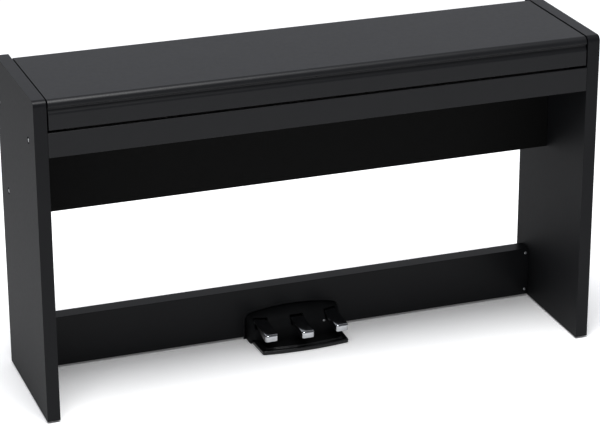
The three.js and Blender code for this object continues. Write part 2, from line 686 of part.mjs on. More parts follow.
// Side view of a pedal: hub, sloping plate, and a front part that gets deeper towards the nose.
function pedalOutline(reach) {
  const { y, z, r } = PEDAL_PIVOT;
  const tip = BEAM_FRONT - reach;
  const under = PEDAL_TOP - PEDAL_PLATE_T;
  const hub = PEDAL_HUB_R;
  const noseT = 9;
  const noseTop = PEDAL_TOP - pedalDrop(tip);
  const body = PEDAL_BODY_REAR;
  const shape = new THREE.Shape();
  shape.moveTo(tip + noseT, noseTop - PEDAL_NOSE_H);
  shape.lineTo(body.y, PEDAL_TOP - body.h - pedalDrop(body.y));
  shape.lineTo(body.y + 3, under - pedalDrop(body.y + 3));
  shape.lineTo(y - 12, under);
  shape.absarc(y, z, hub, Math.PI, 2 * Math.PI);
  shape.lineTo(y + hub, PEDAL_TOP - 4);
  shape.lineTo(y + hub - 4, PEDAL_TOP);
  shape.lineTo(y, PEDAL_TOP);
  shape.absarc(tip + 5, noseTop - 5, 5, Math.PI / 2, Math.PI);
  shape.lineTo(tip, noseTop - PEDAL_NOSE_H + 2);
  shape.lineTo(tip + 2, noseTop - PEDAL_NOSE_H);
  shape.holes.push(new THREE.Path().absarc(y, z, r + RUNNING_GAP, 0, 2 * Math.PI, true));
  return shape;
}

// Top view of a pedal, used to round its front corners.
function pedalPlan(reach) {
  return roundedRect(-PEDAL_W / 2, PEDAL_W / 2, BEAM_FRONT - reach, BEAM_FRONT + 10, 6);
}

function buildPedals() {
  const places = { left: -1, middle: 0, right: 1 };
  for (const [name, step] of Object.entries(places)) {
    const reach = PEDAL_REACH + (step === 0 ? MIDDLE_EXTRA : 0);
    const swept = alongX(pedalOutline(reach), -PEDAL_W / 2, PEDAL_W / 2);
    const pedal = overlap(swept, alongZ(pedalPlan(reach), 0, HEIGHT, 4));
    add(`pedal_${name}`, pedal, 'chrome', [step * PEDAL_PITCH, 0, 0], pedalUnit);
  }
}

// Coil spring under each pedal, standing on the base plate.
class Coil extends THREE.Curve {
  constructor(radius, height, turns) {
    super();
    this.radius = radius;
    this.height = height;
    this.turns = turns;
  }

  getPoint(t, target = new THREE.Vector3()) {
    const angle = 2 * Math.PI * this.turns * t;
    return target.set(this.radius * Math.cos(angle), this.radius * Math.sin(angle), this.height * t);
  }
}

function buildPedalSprings() {
  const wire = 1;
  const foot = BASE_FLOOR + wire + GAP;
  const under = PEDAL_TOP - PEDAL_PLATE_T - pedalDrop(PEDAL_SPRING_Y - SPRING_R - wire);
  const height = under - wire - GAP - foot;
  const turns = 5;
  const section = new THREE.Shape().absarc(0, 0, wire, 0, 2 * Math.PI);
  const coil = new THREE.ExtrudeGeometry(section, {
    steps: turns * 8,
    curveSegments: 3,
    extrudePath: new Coil(SPRING_R, height, turns),
  });
  ['left', 'middle', 'right'].forEach((name, i) => {
    const x = (i - 1) * PEDAL_PITCH;
    add(`pedal_spring_${name}`, coil.clone(), 'steel', [x, PEDAL_SPRING_Y, foot], pedalUnit);
  });
}

// ---- build --------------------------------------------------------------------------------

buildSidePanels();
buildGlides();
buildBoards();
buildSpeakerBoxBottom();
buildSpeakers();
buildRear();
buildHeadphoneBox();
buildKeys();
buildKeyChassis();
buildCheeks();
buildControlPanel();
buildButtons();
buildVolumeKnob();
buildMainBoard();
buildMusicLedge();
buildLid();
buildLidHinges();
buildPedalBase();
buildPedalCover();
buildPedals();
buildPedalSprings();

export default piano;
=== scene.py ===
"""Looks of a digital piano on its stand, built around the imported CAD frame. Metres, +Z up."""

import json
import math

import bmesh
import bpy
from mathutils import Matrix, Vector


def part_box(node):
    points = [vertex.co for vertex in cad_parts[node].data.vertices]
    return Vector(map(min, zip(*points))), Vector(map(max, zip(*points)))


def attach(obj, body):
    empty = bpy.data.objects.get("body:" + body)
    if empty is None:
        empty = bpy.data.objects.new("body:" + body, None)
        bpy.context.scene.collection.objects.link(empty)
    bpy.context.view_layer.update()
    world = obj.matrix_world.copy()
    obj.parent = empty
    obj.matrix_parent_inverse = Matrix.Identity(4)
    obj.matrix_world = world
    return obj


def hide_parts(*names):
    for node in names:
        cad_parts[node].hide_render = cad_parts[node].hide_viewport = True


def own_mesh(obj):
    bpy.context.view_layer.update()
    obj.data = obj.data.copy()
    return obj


MM = 0.001

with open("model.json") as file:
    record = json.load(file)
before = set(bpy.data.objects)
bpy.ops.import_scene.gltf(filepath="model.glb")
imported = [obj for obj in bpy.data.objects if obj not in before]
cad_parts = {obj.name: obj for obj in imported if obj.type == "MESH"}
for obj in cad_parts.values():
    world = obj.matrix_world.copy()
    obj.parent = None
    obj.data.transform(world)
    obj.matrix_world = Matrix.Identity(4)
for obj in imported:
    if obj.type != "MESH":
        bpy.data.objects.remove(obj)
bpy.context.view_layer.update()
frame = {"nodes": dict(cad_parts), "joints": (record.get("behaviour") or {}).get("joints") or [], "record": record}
NODES = frame["nodes"]
BODY_OF = {n: b for b, ns in frame["record"]["behaviour"]["bodies"].items() for n in ns}
SLOT_OF = {s["node"]: s["material_slot"] for s in frame["record"]["subparts"]}
STAND = BODY_OF["keybed"]


# ---- materials ----

NOISE_LOW, NOISE_HIGH = 0.3, 0.7  # most values of a noise texture lie between these


class Graph:
    """A node material: a Principled shader and the procedural nodes that feed it."""

    def __init__(self, name, **fixed):
        self.material = bpy.data.materials.new(name)
        self.material.use_nodes = True
        self.tree = self.material.node_tree
        self.shader = self.tree.nodes["Principled BSDF"]
        for socket, value in fixed.items():
            self.shader.inputs[socket.replace("_", " ")].default_value = value
        coordinates = self.tree.nodes.new("ShaderNodeTexCoord")
        self.place = coordinates.outputs["Object"]

    def link(self, source, target):
        self.tree.links.new(source, target)

    def stretched(self, scale):
        mapping = self.tree.nodes.new("ShaderNodeMapping")
        mapping.inputs["Scale"].default_value = scale
        self.link(self.place, mapping.inputs["Vector"])
        return mapping.outputs["Vector"]

    def noise(self, scale, detail=3.0, roughness=0.5, stretch=None):
        node = self.tree.nodes.new("ShaderNodeTexNoise")
        node.inputs["Scale"].default_value = scale
        node.inputs["Detail"].default_value = detail
        node.inputs["Roughness"].default_value = roughness
        self.link(self.stretched(stretch) if stretch else self.place, node.inputs["Vector"])
        return node.outputs["Fac"]

    def cells(self, scale, stretch=None):
        node = self.tree.nodes.new("ShaderNodeTexVoronoi")
        node.inputs["Scale"].default_value = scale
        self.link(self.stretched(stretch) if stretch else self.place, node.inputs["Vector"])
        return node.outputs["Distance"]

    def rough(self, value, low, high):
        """Roughness from low to high, as a noise value rises."""
        node = self.tree.nodes.new("ShaderNodeMapRange")
        node.inputs["From Min"].default_value = NOISE_LOW
        node.inputs["From Max"].default_value = NOISE_HIGH
        node.inputs["To Min"].default_value = low
        node.inputs["To Max"].default_value = high
        self.link(value, node.inputs["Value"])
        self.link(node.outputs["Result"], self.shader.inputs["Roughness"])

    def color(self, value, stops):
        """Colour that follows a 0 to 1 value through its stops."""
        node = self.tree.nodes.new("ShaderNodeValToRGB")
        elements = node.color_ramp.elements
        while len(elements) < len(stops):
            elements.new(0.5)
        for element, (position, color) in zip(elements, stops):
            element.position = position
            element.color = (*color, 1)
        self.link(value, node.inputs["Fac"])
        self.link(node.outputs["Color"], self.shader.inputs["Base Color"])

    def sum(self, first, second, share=0.5):
        """Two values mixed, with the second one's share."""
        node = self.tree.nodes.new("ShaderNodeMix")
        node.inputs["Factor"].default_value = share
        self.link(first, node.inputs["A"])
        self.link(second, node.inputs["B"])
        return node.outputs["Result"]

    def bump(self, height, depth_mm):
        node = self.tree.nodes.new("ShaderNodeBump")
        node.inputs["Distance"].default_value = depth_mm * MM
        node.inputs["Strength"].default_value = 1.0
        self.link(height, node.inputs["Height"])
        self.link(node.outputs["Normal"], self.shader.inputs["Normal"])


def laminate(name, specular, low, high, low_rough, high_rough):
    g = Graph(name, Specular_IOR_Level=specular)
    pores = g.noise(1300, 2)
    g.color(g.sum(g.noise(12, 4), pores, 0.5), [(0.3, low), (0.7, high)])
    g.rough(g.sum(g.noise(90, 3), pores, 0.6), low_rough, high_rough)
    g.bump(g.sum(pores, g.noise(420, 2), 0.4), 0.010)
    return g.material


def panel_laminate(name, low_rough, high_rough):
    return laminate(name, 0.16, (0.0082, 0.0086, 0.0098), (0.0104, 0.0108, 0.0122), low_rough, high_rough)


def one_noise(name, noise, stops, roughness, depth_mm=0.0, **fixed):
    """A material whose colour, roughness and bump all follow the same noise."""
    g = Graph(name, **fixed)
    value = g.noise(*noise)
    g.color(value, stops)
    g.rough(value, *roughness)
    if depth_mm:
        g.bump(value, depth_mm)
    return g.material


def painted_board():
    fibres = (240, 4, 0.6, (0.35, 1, 1))
    stops = [(0.3, (0.0030, 0.0031, 0.0030)), (0.7, (0.0046, 0.0047, 0.0045))]
    return one_noise("painted_board", fibres, stops, (0.62, 0.78), 0.03, Specular_IOR_Level=0.12)


def hardboard():
    g = Graph("hardboard", Specular_IOR_Level=0.2)
    fibres = g.noise(90, 6, 0.7, (1, 1, 3.5))
    g.color(fibres, [(0.3, (0.014, 0.012, 0.011)), (0.7, (0.030, 0.026, 0.023))])
    g.rough(fibres, 0.62, 0.85)
    g.bump(g.sum(fibres, g.noise(900, 2), 0.5), 0.08)
    return g.material


def plastic(name="plastic", specular=0.3, low_rough=0.36, high_rough=0.50, tone=1.0):
    g = Graph(name, Specular_IOR_Level=specular)
    grain = g.noise(2100, 2)
    low = [tone * c for c in (0.0060, 0.0063, 0.0068)]
    high = [tone * c for c in (0.0100, 0.0104, 0.0110)]
    g.color(g.sum(g.noise(25, 3), grain, 0.4), [(0.3, low), (0.7, high)])
    g.rough(grain, low_rough, high_rough)
    g.bump(grain, 0.03)
    return g.material


def glide():
    scuffs = (180, 5, 0.7)
    stops = [(0.35, (0.012, 0.012, 0.013)), (0.75, (0.045, 0.045, 0.045))]
    return one_noise("glide", scuffs, stops, (0.5, 0.8), 0.05, Specular_IOR_Level=0.3)


def steel():
    g = Graph("steel", Metallic=1.0)
    cloud = g.noise(110, 4)
    streaks = g.noise(700, 3, 0.6, (0.06, 1, 1))
    g.color(cloud, [(0.3, (0.36, 0.37, 0.38)), (0.7, (0.52, 0.53, 0.54))])
    g.rough(g.sum(cloud, streaks), 0.28, 0.50)
    g.bump(streaks, 0.01)
    return g.material


def chrome():
    g = Graph("chrome", Metallic=1.0)
    haze = g.noise(70, 4)
    scratches = g.noise(900, 2, 0.5, (1, 0.05, 1))
    g.color(haze, [(0.3, (0.40, 0.41, 0.425)), (0.7, (0.48, 0.49, 0.505))])
    g.rough(g.sum(haze, scratches, 0.4), 0.05, 0.12)
    g.bump(g.noise(45, 2), 0.006)
    return g.material


def ivory():
    g = Graph("ivory", Coat_Weight=0.25, Coat_Roughness=0.12, Specular_IOR_Level=0.45)
    streaks = g.noise(300, 3, 0.6, (1, 0.04, 1))
    g.color(g.sum(g.noise(9, 3), streaks, 0.3),
            [(0.3, (0.67, 0.645, 0.57)), (0.7, (0.74, 0.715, 0.645))])
    g.rough(streaks, 0.24, 0.36)
    g.bump(streaks, 0.006)
    return g.material


def ebony():
    grain = (1100, 3, 0.6, (1, 0.03, 1))
    stops = [(0.3, (0.006, 0.006, 0.0065)), (0.7, (0.014, 0.013, 0.0135))]
    return one_noise("ebony", grain, stops, (0.28, 0.48), 0.03, Specular_IOR_Level=0.4)


def speaker_paper():
    pulp = (650, 6, 0.7)
    stops = [(0.3, (0.012, 0.012, 0.012)), (0.7, (0.028, 0.028, 0.029))]
    return one_noise("speaker", pulp, stops, (0.75, 0.95), 0.08, Specular_IOR_Level=0.15)


# Near-black, dull and almost unreflective: painted shade, laid into gaps and recesses that should read as dark.
def painted_shade():
    pores = (1500, 4, 0.7)
    stops = [(0.35, (0.0012, 0.0012, 0.0013)), (0.7, (0.0036, 0.0036, 0.0038))]
    return one_noise("painted_shade", pores, stops, (0.85, 0.98), 0.05, Specular_IOR_Level=0.02)


def circuit_board():
    g = Graph("circuit_board", Specular_IOR_Level=0.4)
    traces = g.cells(260, (1, 0.35, 1))
    g.color(traces, [(0.35, (0.012, 0.055, 0.028)), (0.45, (0.03, 0.13, 0.06)),
                     (0.85, (0.014, 0.065, 0.032))])
    g.rough(traces, 0.25, 0.5)
    g.bump(traces, 0.04)
    return g.material


def felt():
    fuzz = (1500, 6, 0.8)
    stops = [(0.3, (0.10, 0.008, 0.012)), (0.7, (0.19, 0.018, 0.022))]
    return one_noise("felt", fuzz, stops, (0.9, 1.0), 0.25,
                     Specular_IOR_Level=0.05, Sheen_Weight=0.5, Sheen_Roughness=0.6)


def rubber():
    dust = (500, 5, 0.7)
    stops = [(0.3, (0.012, 0.012, 0.012)), (0.75, (0.026, 0.026, 0.027))]
    return one_noise("rubber", dust, stops, (0.65, 0.85), 0.03, Specular_IOR_Level=0.2)


def dark_steel():
    stops = [(0.3, (0.10, 0.10, 0.105)), (0.7, (0.20, 0.20, 0.205))]
    return one_noise("dark_steel", (600, 4), stops, (0.22, 0.40), 0.01, Metallic=1.0)


def indicator():
    stops = [(0.3, (0.10, 0.008, 0.006)), (0.7, (0.20, 0.014, 0.010))]
    return one_noise("indicator", (900, 2), stops, (0.12, 0.22), Coat_Weight=0.6, Specular_IOR_Level=0.5)


def pale_paint():
    stops = [(0.3, (0.55, 0.55, 0.54)), (0.7, (0.68, 0.68, 0.67))]
    return one_noise("pale_paint", (1800, 3), stops, (0.4, 0.6), Specular_IOR_Level=0.4)


FINISH = {
    "laminate": laminate("laminate", 0.27, (0.0088, 0.0092, 0.0104), (0.0112, 0.0116, 0.0130), 0.36, 0.42),
    "hardboard": hardboard(),
    "glide": glide(),
    "plastic": plastic(),
    "speaker": speaker_paper(),
    "steel": steel(),
    "chrome": chrome(),
    "circuit_board": circuit_board(),
    "ivory": ivory(),
    "ebony": ebony(),
}
FELT = felt()
RUBBER = rubber()
DARK_STEEL = dark_steel()
INDICATOR = indicator()
PALE_PAINT = pale_paint()
PAINTED_BOARD = painted_board()
PAINTED_SHADE = painted_shade()
GLOSSY_PLASTIC = plastic("glossy_plastic", 0.45, 0.20, 0.27)
# A copy of the plastic with 1.5 times its base colour: painted light for the cover, whose crest lies in shade
# under the keybed.
COVER_PLASTIC_LIT = plastic("cover_plastic_lit", 0.06, 0.42, 0.55, 1.5)
EDGE_BAND = panel_laminate("edge_band", 0.32, 0.37)
PANEL_FACE = panel_laminate("panel_face", 0.56, 0.62)
BOARD_FINISH = {
    "speaker_box_front": PAINTED_BOARD, "speaker_box_bottom": PAINTED_BOARD,
    "side_panel_left": (EDGE_BAND, PANEL_FACE), "side_panel_right": (EDGE_BAND, PANEL_FACE),
    "lower_beam": EDGE_BAND,
}


# ---- mesh helpers ----

def new_object(name, mesh, finish):
    if mesh.materials:  # clearing an empty list would still reset which finish each face has
        mesh.materials.clear()
    for one in finish if isinstance(finish, (list, tuple)) else [finish]:
        mesh.materials.append(one)
    obj = bpy.data.objects.new(name, mesh)
    bpy.context.scene.collection.objects.link(obj)
    return obj


def mesh_of(bm, name="part"):
    bmesh.ops.recalc_face_normals(bm, faces=bm.faces)
    mesh = bpy.data.meshes.new(name)
    bm.to_mesh(mesh)
    bm.free()
    return mesh


def settled(obj):
    """The object with its modifiers made part of its mesh."""
    depsgraph = bpy.context.evaluated_depsgraph_get()
    mesh = bpy.data.meshes.new_from_object(obj.evaluated_get(depsgraph))
    obj.modifiers.clear()
    obj.data = mesh
    return obj


def eased(obj, width_mm, segments=2, angle=30):
    """Rounds the object's edges, and shades it smooth with its flat faces kept flat."""
    for polygon in obj.data.polygons:
        polygon.use_smooth = True
    if width_mm:
        bevel = obj.modifiers.new("edges", "BEVEL")
        bevel.width = width_mm * MM
        bevel.segments = segments
        bevel.limit_method = "ANGLE"
        bevel.angle_limit = math.radians(angle)
        bevel.use_clamp_overlap = True
    weighted = obj.modifiers.new("normals", "WEIGHTED_NORMAL")
    weighted.keep_sharp = True
    return settled(obj)


def finished(obj, body, slot, *nodes):
    """Puts a piece on its body, in place of any CAD nodes it stands for."""
    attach(obj, body)
    if nodes:
        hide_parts(*nodes)
    return obj


def cad_copy(node):
    """A CAD node's mesh with its split corners joined and its flat faces made whole."""
    bm = bmesh.new()
    bm.from_mesh(NODES[node].data)
    bmesh.ops.remove_doubles(bm, verts=bm.verts, dist=0.00001)
    bmesh.ops.dissolve_limit(
        bm, angle_limit=math.radians(1), use_dissolve_boundaries=False,
        verts=bm.verts, edges=bm.edges, delimit=set())
    mesh = bpy.data.meshes.new(node)
    bm.to_mesh(mesh)
    bm.free()
    return mesh


def refined(node, width_mm, segments=2, finish=None):
    """The CAD node's own shape, with its edges rounded. A second finish is for its left and right faces."""
    slot = SLOT_OF[node]
    obj = new_object(f"{node}_skin", cad_copy(node), finish or FINISH[slot])
    if len(obj.data.materials) > 1:
        for face in obj.data.polygons:
            face.material_index = int(abs(face.normal.x) > 0.9)
    eased(obj, width_mm, segments)
    return finished(obj, BODY_OF[node], slot, node)


def turned(bm, profile, steps=48, matrix=None):
    """A solid of revolution about Z, from a profile of (radius, height) points in mm.

    The profile starts and ends on the axis, or closes on itself.
    """
    rings = []
    for radius, height in profile:
        if radius < 1e-6:
            rings.append([bm.verts.new((0, 0, height * MM))])
            continue
        rings.append([
            bm.verts.new((radius * MM * math.cos(a), radius * MM * math.sin(a), height * MM))
            for a in (2 * math.pi * i / steps for i in range(steps))])
    closed = profile[0][0] > 1e-6
    pairs = list(zip(rings, rings[1:])) + ([(rings[-1], rings[0])] if closed else [])
    for low, high in pairs:
        for i in range(steps):
            j = (i + 1) % steps
            corners = [low[i % len(low)], low[j % len(low)], high[j % len(high)], high[i % len(high)]]
            unique = list(dict.fromkeys(corners))
            if len(unique) > 2:
                bm.faces.new(unique)
    if matrix:
        bmesh.ops.transform(bm, matrix=matrix, verts=[v for ring in rings for v in ring])
    return bm


def prism(bm, points, low, high):
    """A solid with an outline of (x, y) points in mm, from low to high along Z."""
    rings = [[bm.verts.new((x * MM, y * MM, z * MM)) for x, y in points] for z in (low, high)]
    bm.faces.new(rings[0])
    bm.faces.new(rings[1])
    for i in range(len(points)):
        j = (i + 1) % len(points)
        bm.faces.new([rings[0][i], rings[0][j], rings[1][j], rings[1][i]])
    return bm


def regular(sides, radius):
    """The corners of a regular polygon."""
    angles = (2 * math.pi * i / sides for i in range(sides))
    return [(radius * math.cos(a), radius * math.sin(a)) for a in angles]


def carved(mesh, tool_mesh):
    """The mesh with the tool's shape cut out of it."""
    body = new_object("carve_body", mesh, [])
    tool = new_object("carve_tool", tool_mesh, [])
    boolean = body.modifiers.new("cut", "BOOLEAN")
    boolean.operation = "DIFFERENCE"
    boolean.solver = "EXACT"
    boolean.object = tool
    bpy.context.view_layer.update()
    result = settled(body).data
    bpy.data.objects.remove(body)
    bpy.data.objects.remove(tool)
    return result


def stamped(name, template, places, finish, body, slot, width_mm=0.0):
    """One piece made of copies of a template mesh, each put in place by a matrix."""
    bm = bmesh.new()
    for place in places:
        known = len(bm.verts)
        bm.from_mesh(template)
        bm.verts.ensure_lookup_table()
        bmesh.ops.transform(bm, matrix=place, verts=bm.verts[known:])
    obj = new_object(name, mesh_of(bm, name), finish)
    eased(obj, width_mm, 2)
    return finished(obj, body, slot)


def facing(direction, x, y, z):
    """A place in mm whose own +Z looks along the direction."""
    turn = Vector(direction).to_track_quat("Z", "Y").to_matrix().to_4x4()
    return Matrix.Translation(Vector((x, y, z)) * MM) @ turn


def grid_faces(bm, rows, closed=False):
    """Joins rows of points, given in mm, into a skin. Returns the rows of vertices."""
    made = [[bm.verts.new(Vector(p) * MM) for p in row] for row in rows]
    for low, high in zip(made, made[1:]):
        count = len(low)
        for i in range(count if closed else count - 1):
            j = (i + 1) % count
            bm.faces.new([low[i], low[j], high[j], high[i]])
    return made


def lofted(rows):
    """A solid through closed rows of points in mm, with flat ends."""
    bm = bmesh.new()
    made = grid_faces(bm, rows, closed=True)
    bm.faces.new(made[0])
    bm.faces.new(made[-1])
    return bm


def centre_x(node):
    """The middle of a node's width, in mm."""
    low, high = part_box(node)
    return (low.x + high.x) / 2 / MM


def pivot_of(joint):
    """A joint's place, in mm."""
    return Vector(next(j for j in frame["joints"] if j["name"] == joint)["pos_m"]) / MM


# ---- fasteners ----

def socket_bolt():
    """Low round bolt head with a hexagon socket, for the holes in the side panels."""
    head = turned(bmesh.new(), [
        (0, 0), (5.0, 0), (5.0, 1.3), (4.7, 1.9), (3.9, 2.3), (0, 2.4)], 40)
    hexagon = prism(bmesh.new(), regular(6, 2.4), 0.5, 3)
    return carved(mesh_of(head), mesh_of(hexagon))


def cross_screw(radius, height):
    """Domed screw head with a cross recess."""
    head = turned(bmesh.new(), [
        (0, 0), (radius, 0), (radius, height * 0.25), (radius * 0.93, height * 0.55),
        (radius * 0.7, height * 0.86), (radius * 0.35, height * 0.98), (0, height)], 28)
    arm, half = radius * 0.62, radius * 0.13
    cross = [(half, half), (half, arm), (-half, arm), (-half, half), (-arm, half), (-arm, -half),
             (-half, -half), (-half, -arm), (half, -arm), (half, -half), (arm, -half), (arm, half)]
    tool = prism(bmesh.new(), cross, height * 0.35, height * 2)
    return carved(mesh_of(head), mesh_of(tool))


BOLT_PLACES = [(-117.5, 666), (157.5, 666), (107.5, 465)]  # (y, z) of a side panel's bolts
BOLT_DEPTH = 2.45
REAR_SCREWS_IN = 12
REAR_SCREWS_UP = 9
REAR_SCREW_COLUMNS = 9
BEAM_SCREWS_IN = 8.5
BEAM_SCREW_HEIGHTS = (20, 119)
ARM_T = 3
ARM_SCREW_YS = (78, 122)


def add_case_bolts():
    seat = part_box("side_panel_right")[1].x / MM - BOLT_DEPTH
    bolt = socket_bolt()
    # A near-black ring round each bolt head: painted shade of the counterbore it sits in.
    collar = mesh_of(turned(bmesh.new(), [
        (5.2, 0), (8.3, 0), (8.3, 1.9), (7.9, 2.3), (5.6, 2.3), (5.2, 1.9)], 40))
    for side, sign in (("left", -1), ("right", 1)):
        places = [facing((sign, 0, 0), sign * seat, y, z) for y, z in BOLT_PLACES]
        stamped(f"case_bolts_{side}", bolt, places, FINISH["steel"], STAND, "steel")
        stamped(f"case_bolt_shade_rings_{side}", collar, places, PAINTED_SHADE, STAND, "plastic")


def add_rear_cover_screws():
    low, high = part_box("rear_cover")
    left, right = low.x / MM, high.x / MM
    bottom, top = low.z / MM, high.z / MM
    step = (right - left - 2 * REAR_SCREWS_IN) / (REAR_SCREW_COLUMNS - 1)
    columns = [left + REAR_SCREWS_IN + i * step for i in range(REAR_SCREW_COLUMNS)]
    spots = [(x, z) for x in columns for z in (bottom + REAR_SCREWS_UP, top - REAR_SCREWS_UP)]
    spots += [(x, (bottom + top) / 2) for x in (left + REAR_SCREWS_IN, right - REAR_SCREWS_IN)]
    places = [facing((0, 1, 0), x, high.y / MM, z) for x, z in spots]
    stamped("rear_cover_screws", cross_screw(3.6, 1.7), places, DARK_STEEL, STAND, "steel")


def add_beam_screws():
    low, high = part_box("lower_beam")
    across = high.x / MM - BEAM_SCREWS_IN
    spots = [(sign * across, z) for sign in (-1, 1) for z in BEAM_SCREW_HEIGHTS]
    places = [facing((0, -1, 0), x, low.y / MM, z) for x, z in spots]
    stamped("beam_screws", cross_screw(3.8, 1.6), places, FINISH["steel"], STAND, "steel")


def add_lid_arm_screws():
    for side in ("left", "right"):
        arm = f"lid_arm_{side}"
        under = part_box(arm)[1].z / MM - ARM_T
        places = [facing((0, 0, -1), centre_x(arm), y, under) for y in ARM_SCREW_YS]
        stamped(f"lid_arm_screws_{side}", cross_screw(3.2, 1.5), places, FINISH["steel"],
                BODY_OF["lid"], "steel")


# ---- case ----

EDGE_MM = {
    "side_panel_left": 1.1, "side_panel_right": 1.1, "front_rail": 0.8, "keybed": 0.6,
    "speaker_box_front": 0.7, "speaker_box_bottom": 0.6, "rear_board": 0.6, "rear_cover": 0.3,
    "lower_beam": 1.0, "lid": 0.7, "cheek_block_left": 0.8, "cheek_block_right": 0.8,
    "control_panel": 0.5, "music_ledge": 0.4, "socket_plate": 0.4, "headphone_box": 1.0,
    "key_chassis": 0.3, "key_pivot_rod": 0.2, "main_board": 0.15, "lid_arm_left": 0.3,
    "lid_arm_right": 0.3, "lid_pin_left": 0.4, "lid_pin_right": 0.4, "pedal_shaft": 0.3,
    "power_button": 0.3,
    "glide_front_left": 0.3, "glide_front_right": 0.3, "glide_rear_left": 0.3, "glide_rear_right": 0.3,
}
WIDE_EDGE_MM = 0.7  # an edge this wide takes three segments


def add_refined_nodes():
    for node, width in EDGE_MM.items():
        refined(node, width, 3 if width >= WIDE_EDGE_MM else 2, BOARD_FINISH.get(node))
    for octave in range(1, 8):
        refined(f"naturals_octave_{octave}", 0.7, 3)
        refined(f"sharps_octave_{octave}", 0.9, 3)
    for button in range(1, 5):
        refined(f"sound_button_{button}", 0.5, 2)


BUFFER_X = 600
BUFFER_BEHIND = 8
BUFFER_GAP = 0.3


def add_buffers():
    """Rubber buds on the rail that the closed lid's lip rests on."""
    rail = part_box("front_rail")[1]
    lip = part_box("lid")[0]
    height = (lip.z - rail.z) / MM - BUFFER_GAP
    profile = [(0, 0), (5, 0), (5, height * 0.7), (4.2, height), (0, height)]
    bud = mesh_of(turned(bmesh.new(), profile, 32))
    y = rail.y / MM - BUFFER_BEHIND
    places = [Matrix.Translation(Vector((x, y, rail.z / MM)) * MM) for x in (-BUFFER_X, BUFFER_X)]
    stamped("lid_buffers", bud, places, RUBBER, STAND, "glide")


# ---- controls ----

KNOB_H = 10
KNOB_FLUTES = 30
FLUTE_SHARE = 0.028  # how deep a flute is, as a share of the knob's radius


def flute(bm, seat, top):
    """Presses flutes into the knob's wall, between its foot and its upper edge."""
    for vert in bm.verts:
        radius = math.hypot(vert.co.x, vert.co.y) / MM
        if radius > 10 and seat + 0.3 < vert.co.z / MM < top - 0.3:
            angle = math.atan2(vert.co.y, vert.co.x)
            shrink = 1 - FLUTE_SHARE * (0.5 + 0.5 * math.cos(KNOB_FLUTES * angle))
            vert.co.x *= shrink
            vert.co.y *= shrink


def add_knob():
    low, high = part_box("volume_knob")
    x, y = (low.x + high.x) / 2 / MM, (low.y + high.y) / 2 / MM
    foot, top = low.z / MM, high.z / MM
    seat = top - KNOB_H
    profile = [(0, foot), (3, foot), (3, seat), (10.9, seat), (11, seat + 0.5), (10.55, top - 1.2),
               (10.1, top - 0.5), (9.4, top), (4.5, top - 0.35), (0, top - 0.45)]
    bm = turned(bmesh.new(), profile, KNOB_FLUTES * 4)
    flute(bm, seat, top)
    bmesh.ops.translate(bm, vec=Vector((x, y, 0)) * MM, verts=bm.verts)
    knob = eased(new_object("volume_knob_cap", mesh_of(bm), FINISH["plastic"]), 0.15, 1, 40)
    finished(knob, "volume_knob", "plastic", "volume_knob")
    line = [(-0.6, 4), (0.6, 4), (0.6, 9.2), (0.2, 9.7), (-0.2, 9.7), (-0.6, 9.2)]
    place = Matrix.Translation(Vector((x, y, top - 0.5)) * MM)
    stamped("volume_pointer", mesh_of(prism(bmesh.new(), line, 0, 0.6)), [place], PALE_PAINT,
            "volume_knob", "plastic", 0.1)


INDICATOR_BEHIND = 9


def add_indicators():
    """A small light behind each button."""
    panel_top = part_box("control_panel")[1].z / MM
    profile = [(0, -1), (1.4, -1), (1.4, 0.3), (1.1, 0.75), (0.6, 1), (0, 1.05)]
    dome = mesh_of(turned(bmesh.new(), profile, 24))
    places = []
    for node in ["power_button"] + [f"sound_button_{i}" for i in range(1, 5)]:
        low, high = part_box(node)
        place = Vector(((low.x + high.x) / 2, high.y + INDICATOR_BEHIND * MM, panel_top * MM))
        places.append(Matrix.Translation(place))
    stamped("indicators", dome, places, INDICATOR, STAND, "plastic")


FELT_STEPS = 160


def add_felt():
    """Felt strip under the front edge of the control panel, behind the visible part of the keys."""
    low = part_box("control_panel")[0]
    key_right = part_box("naturals_octave_7")[1].x / MM
    under, front = low.z / MM, low.y / MM
    rows = []
    for i in range(FELT_STEPS + 1):
        x = -key_right + 2 * key_right * i / FELT_STEPS
        wave = 0.25 * math.sin(x * 0.9) * math.sin(x * 0.23)
        rows.append([(x, front - 5 + wave, under - 1.9), (x, front - 5.4 + wave, under - 1.1),
                     (x, front - 4.8 + wave, under - 0.4), (x, front + 12, under - 0.25),
                     (x, front + 12, under - 1.9)])
    strip = eased(new_object("key_felt", mesh_of(lofted(rows)), FELT), 0.0)
    finished(strip, STAND, "plastic")


# ---- sockets ----

def jack_ring(outer, bore, depth, lip):
    """Plated ring of a round socket, with its barrel going back from the face."""
    return mesh_of(turned(bmesh.new(), [
        (outer, 0), (outer, lip * 0.6), (outer - 0.5, lip), (bore + 0.5, lip), (bore, lip * 0.6),
        (bore, -depth), (bore + 0.5, -depth), (bore + 0.5, 0)], 36))


HEADPHONE_HALF_PITCH = 18
HEADPHONE_DOWN = 14
POWER_SOCKET_X = 26  # from the socket plate's left edge, as are the next two
PEDAL_SOCKET_X = 58
LINE_SOCKET_X = 92
PLATE_SCREW_XS = (6, 114)
PLATE_SCREWS_IN = 6


def add_headphone_rings():
    low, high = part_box("headphone_box")
    middle = centre_x("headphone_box")
    places = [facing((0, -1, 0), middle + dx, low.y / MM, high.z / MM - HEADPHONE_DOWN)
              for dx in (-HEADPHONE_HALF_PITCH, HEADPHONE_HALF_PITCH)]
    stamped("headphone_rings", jack_ring(5.4, 2.8, 12, 1.2), places, FINISH["chrome"], STAND, "steel")


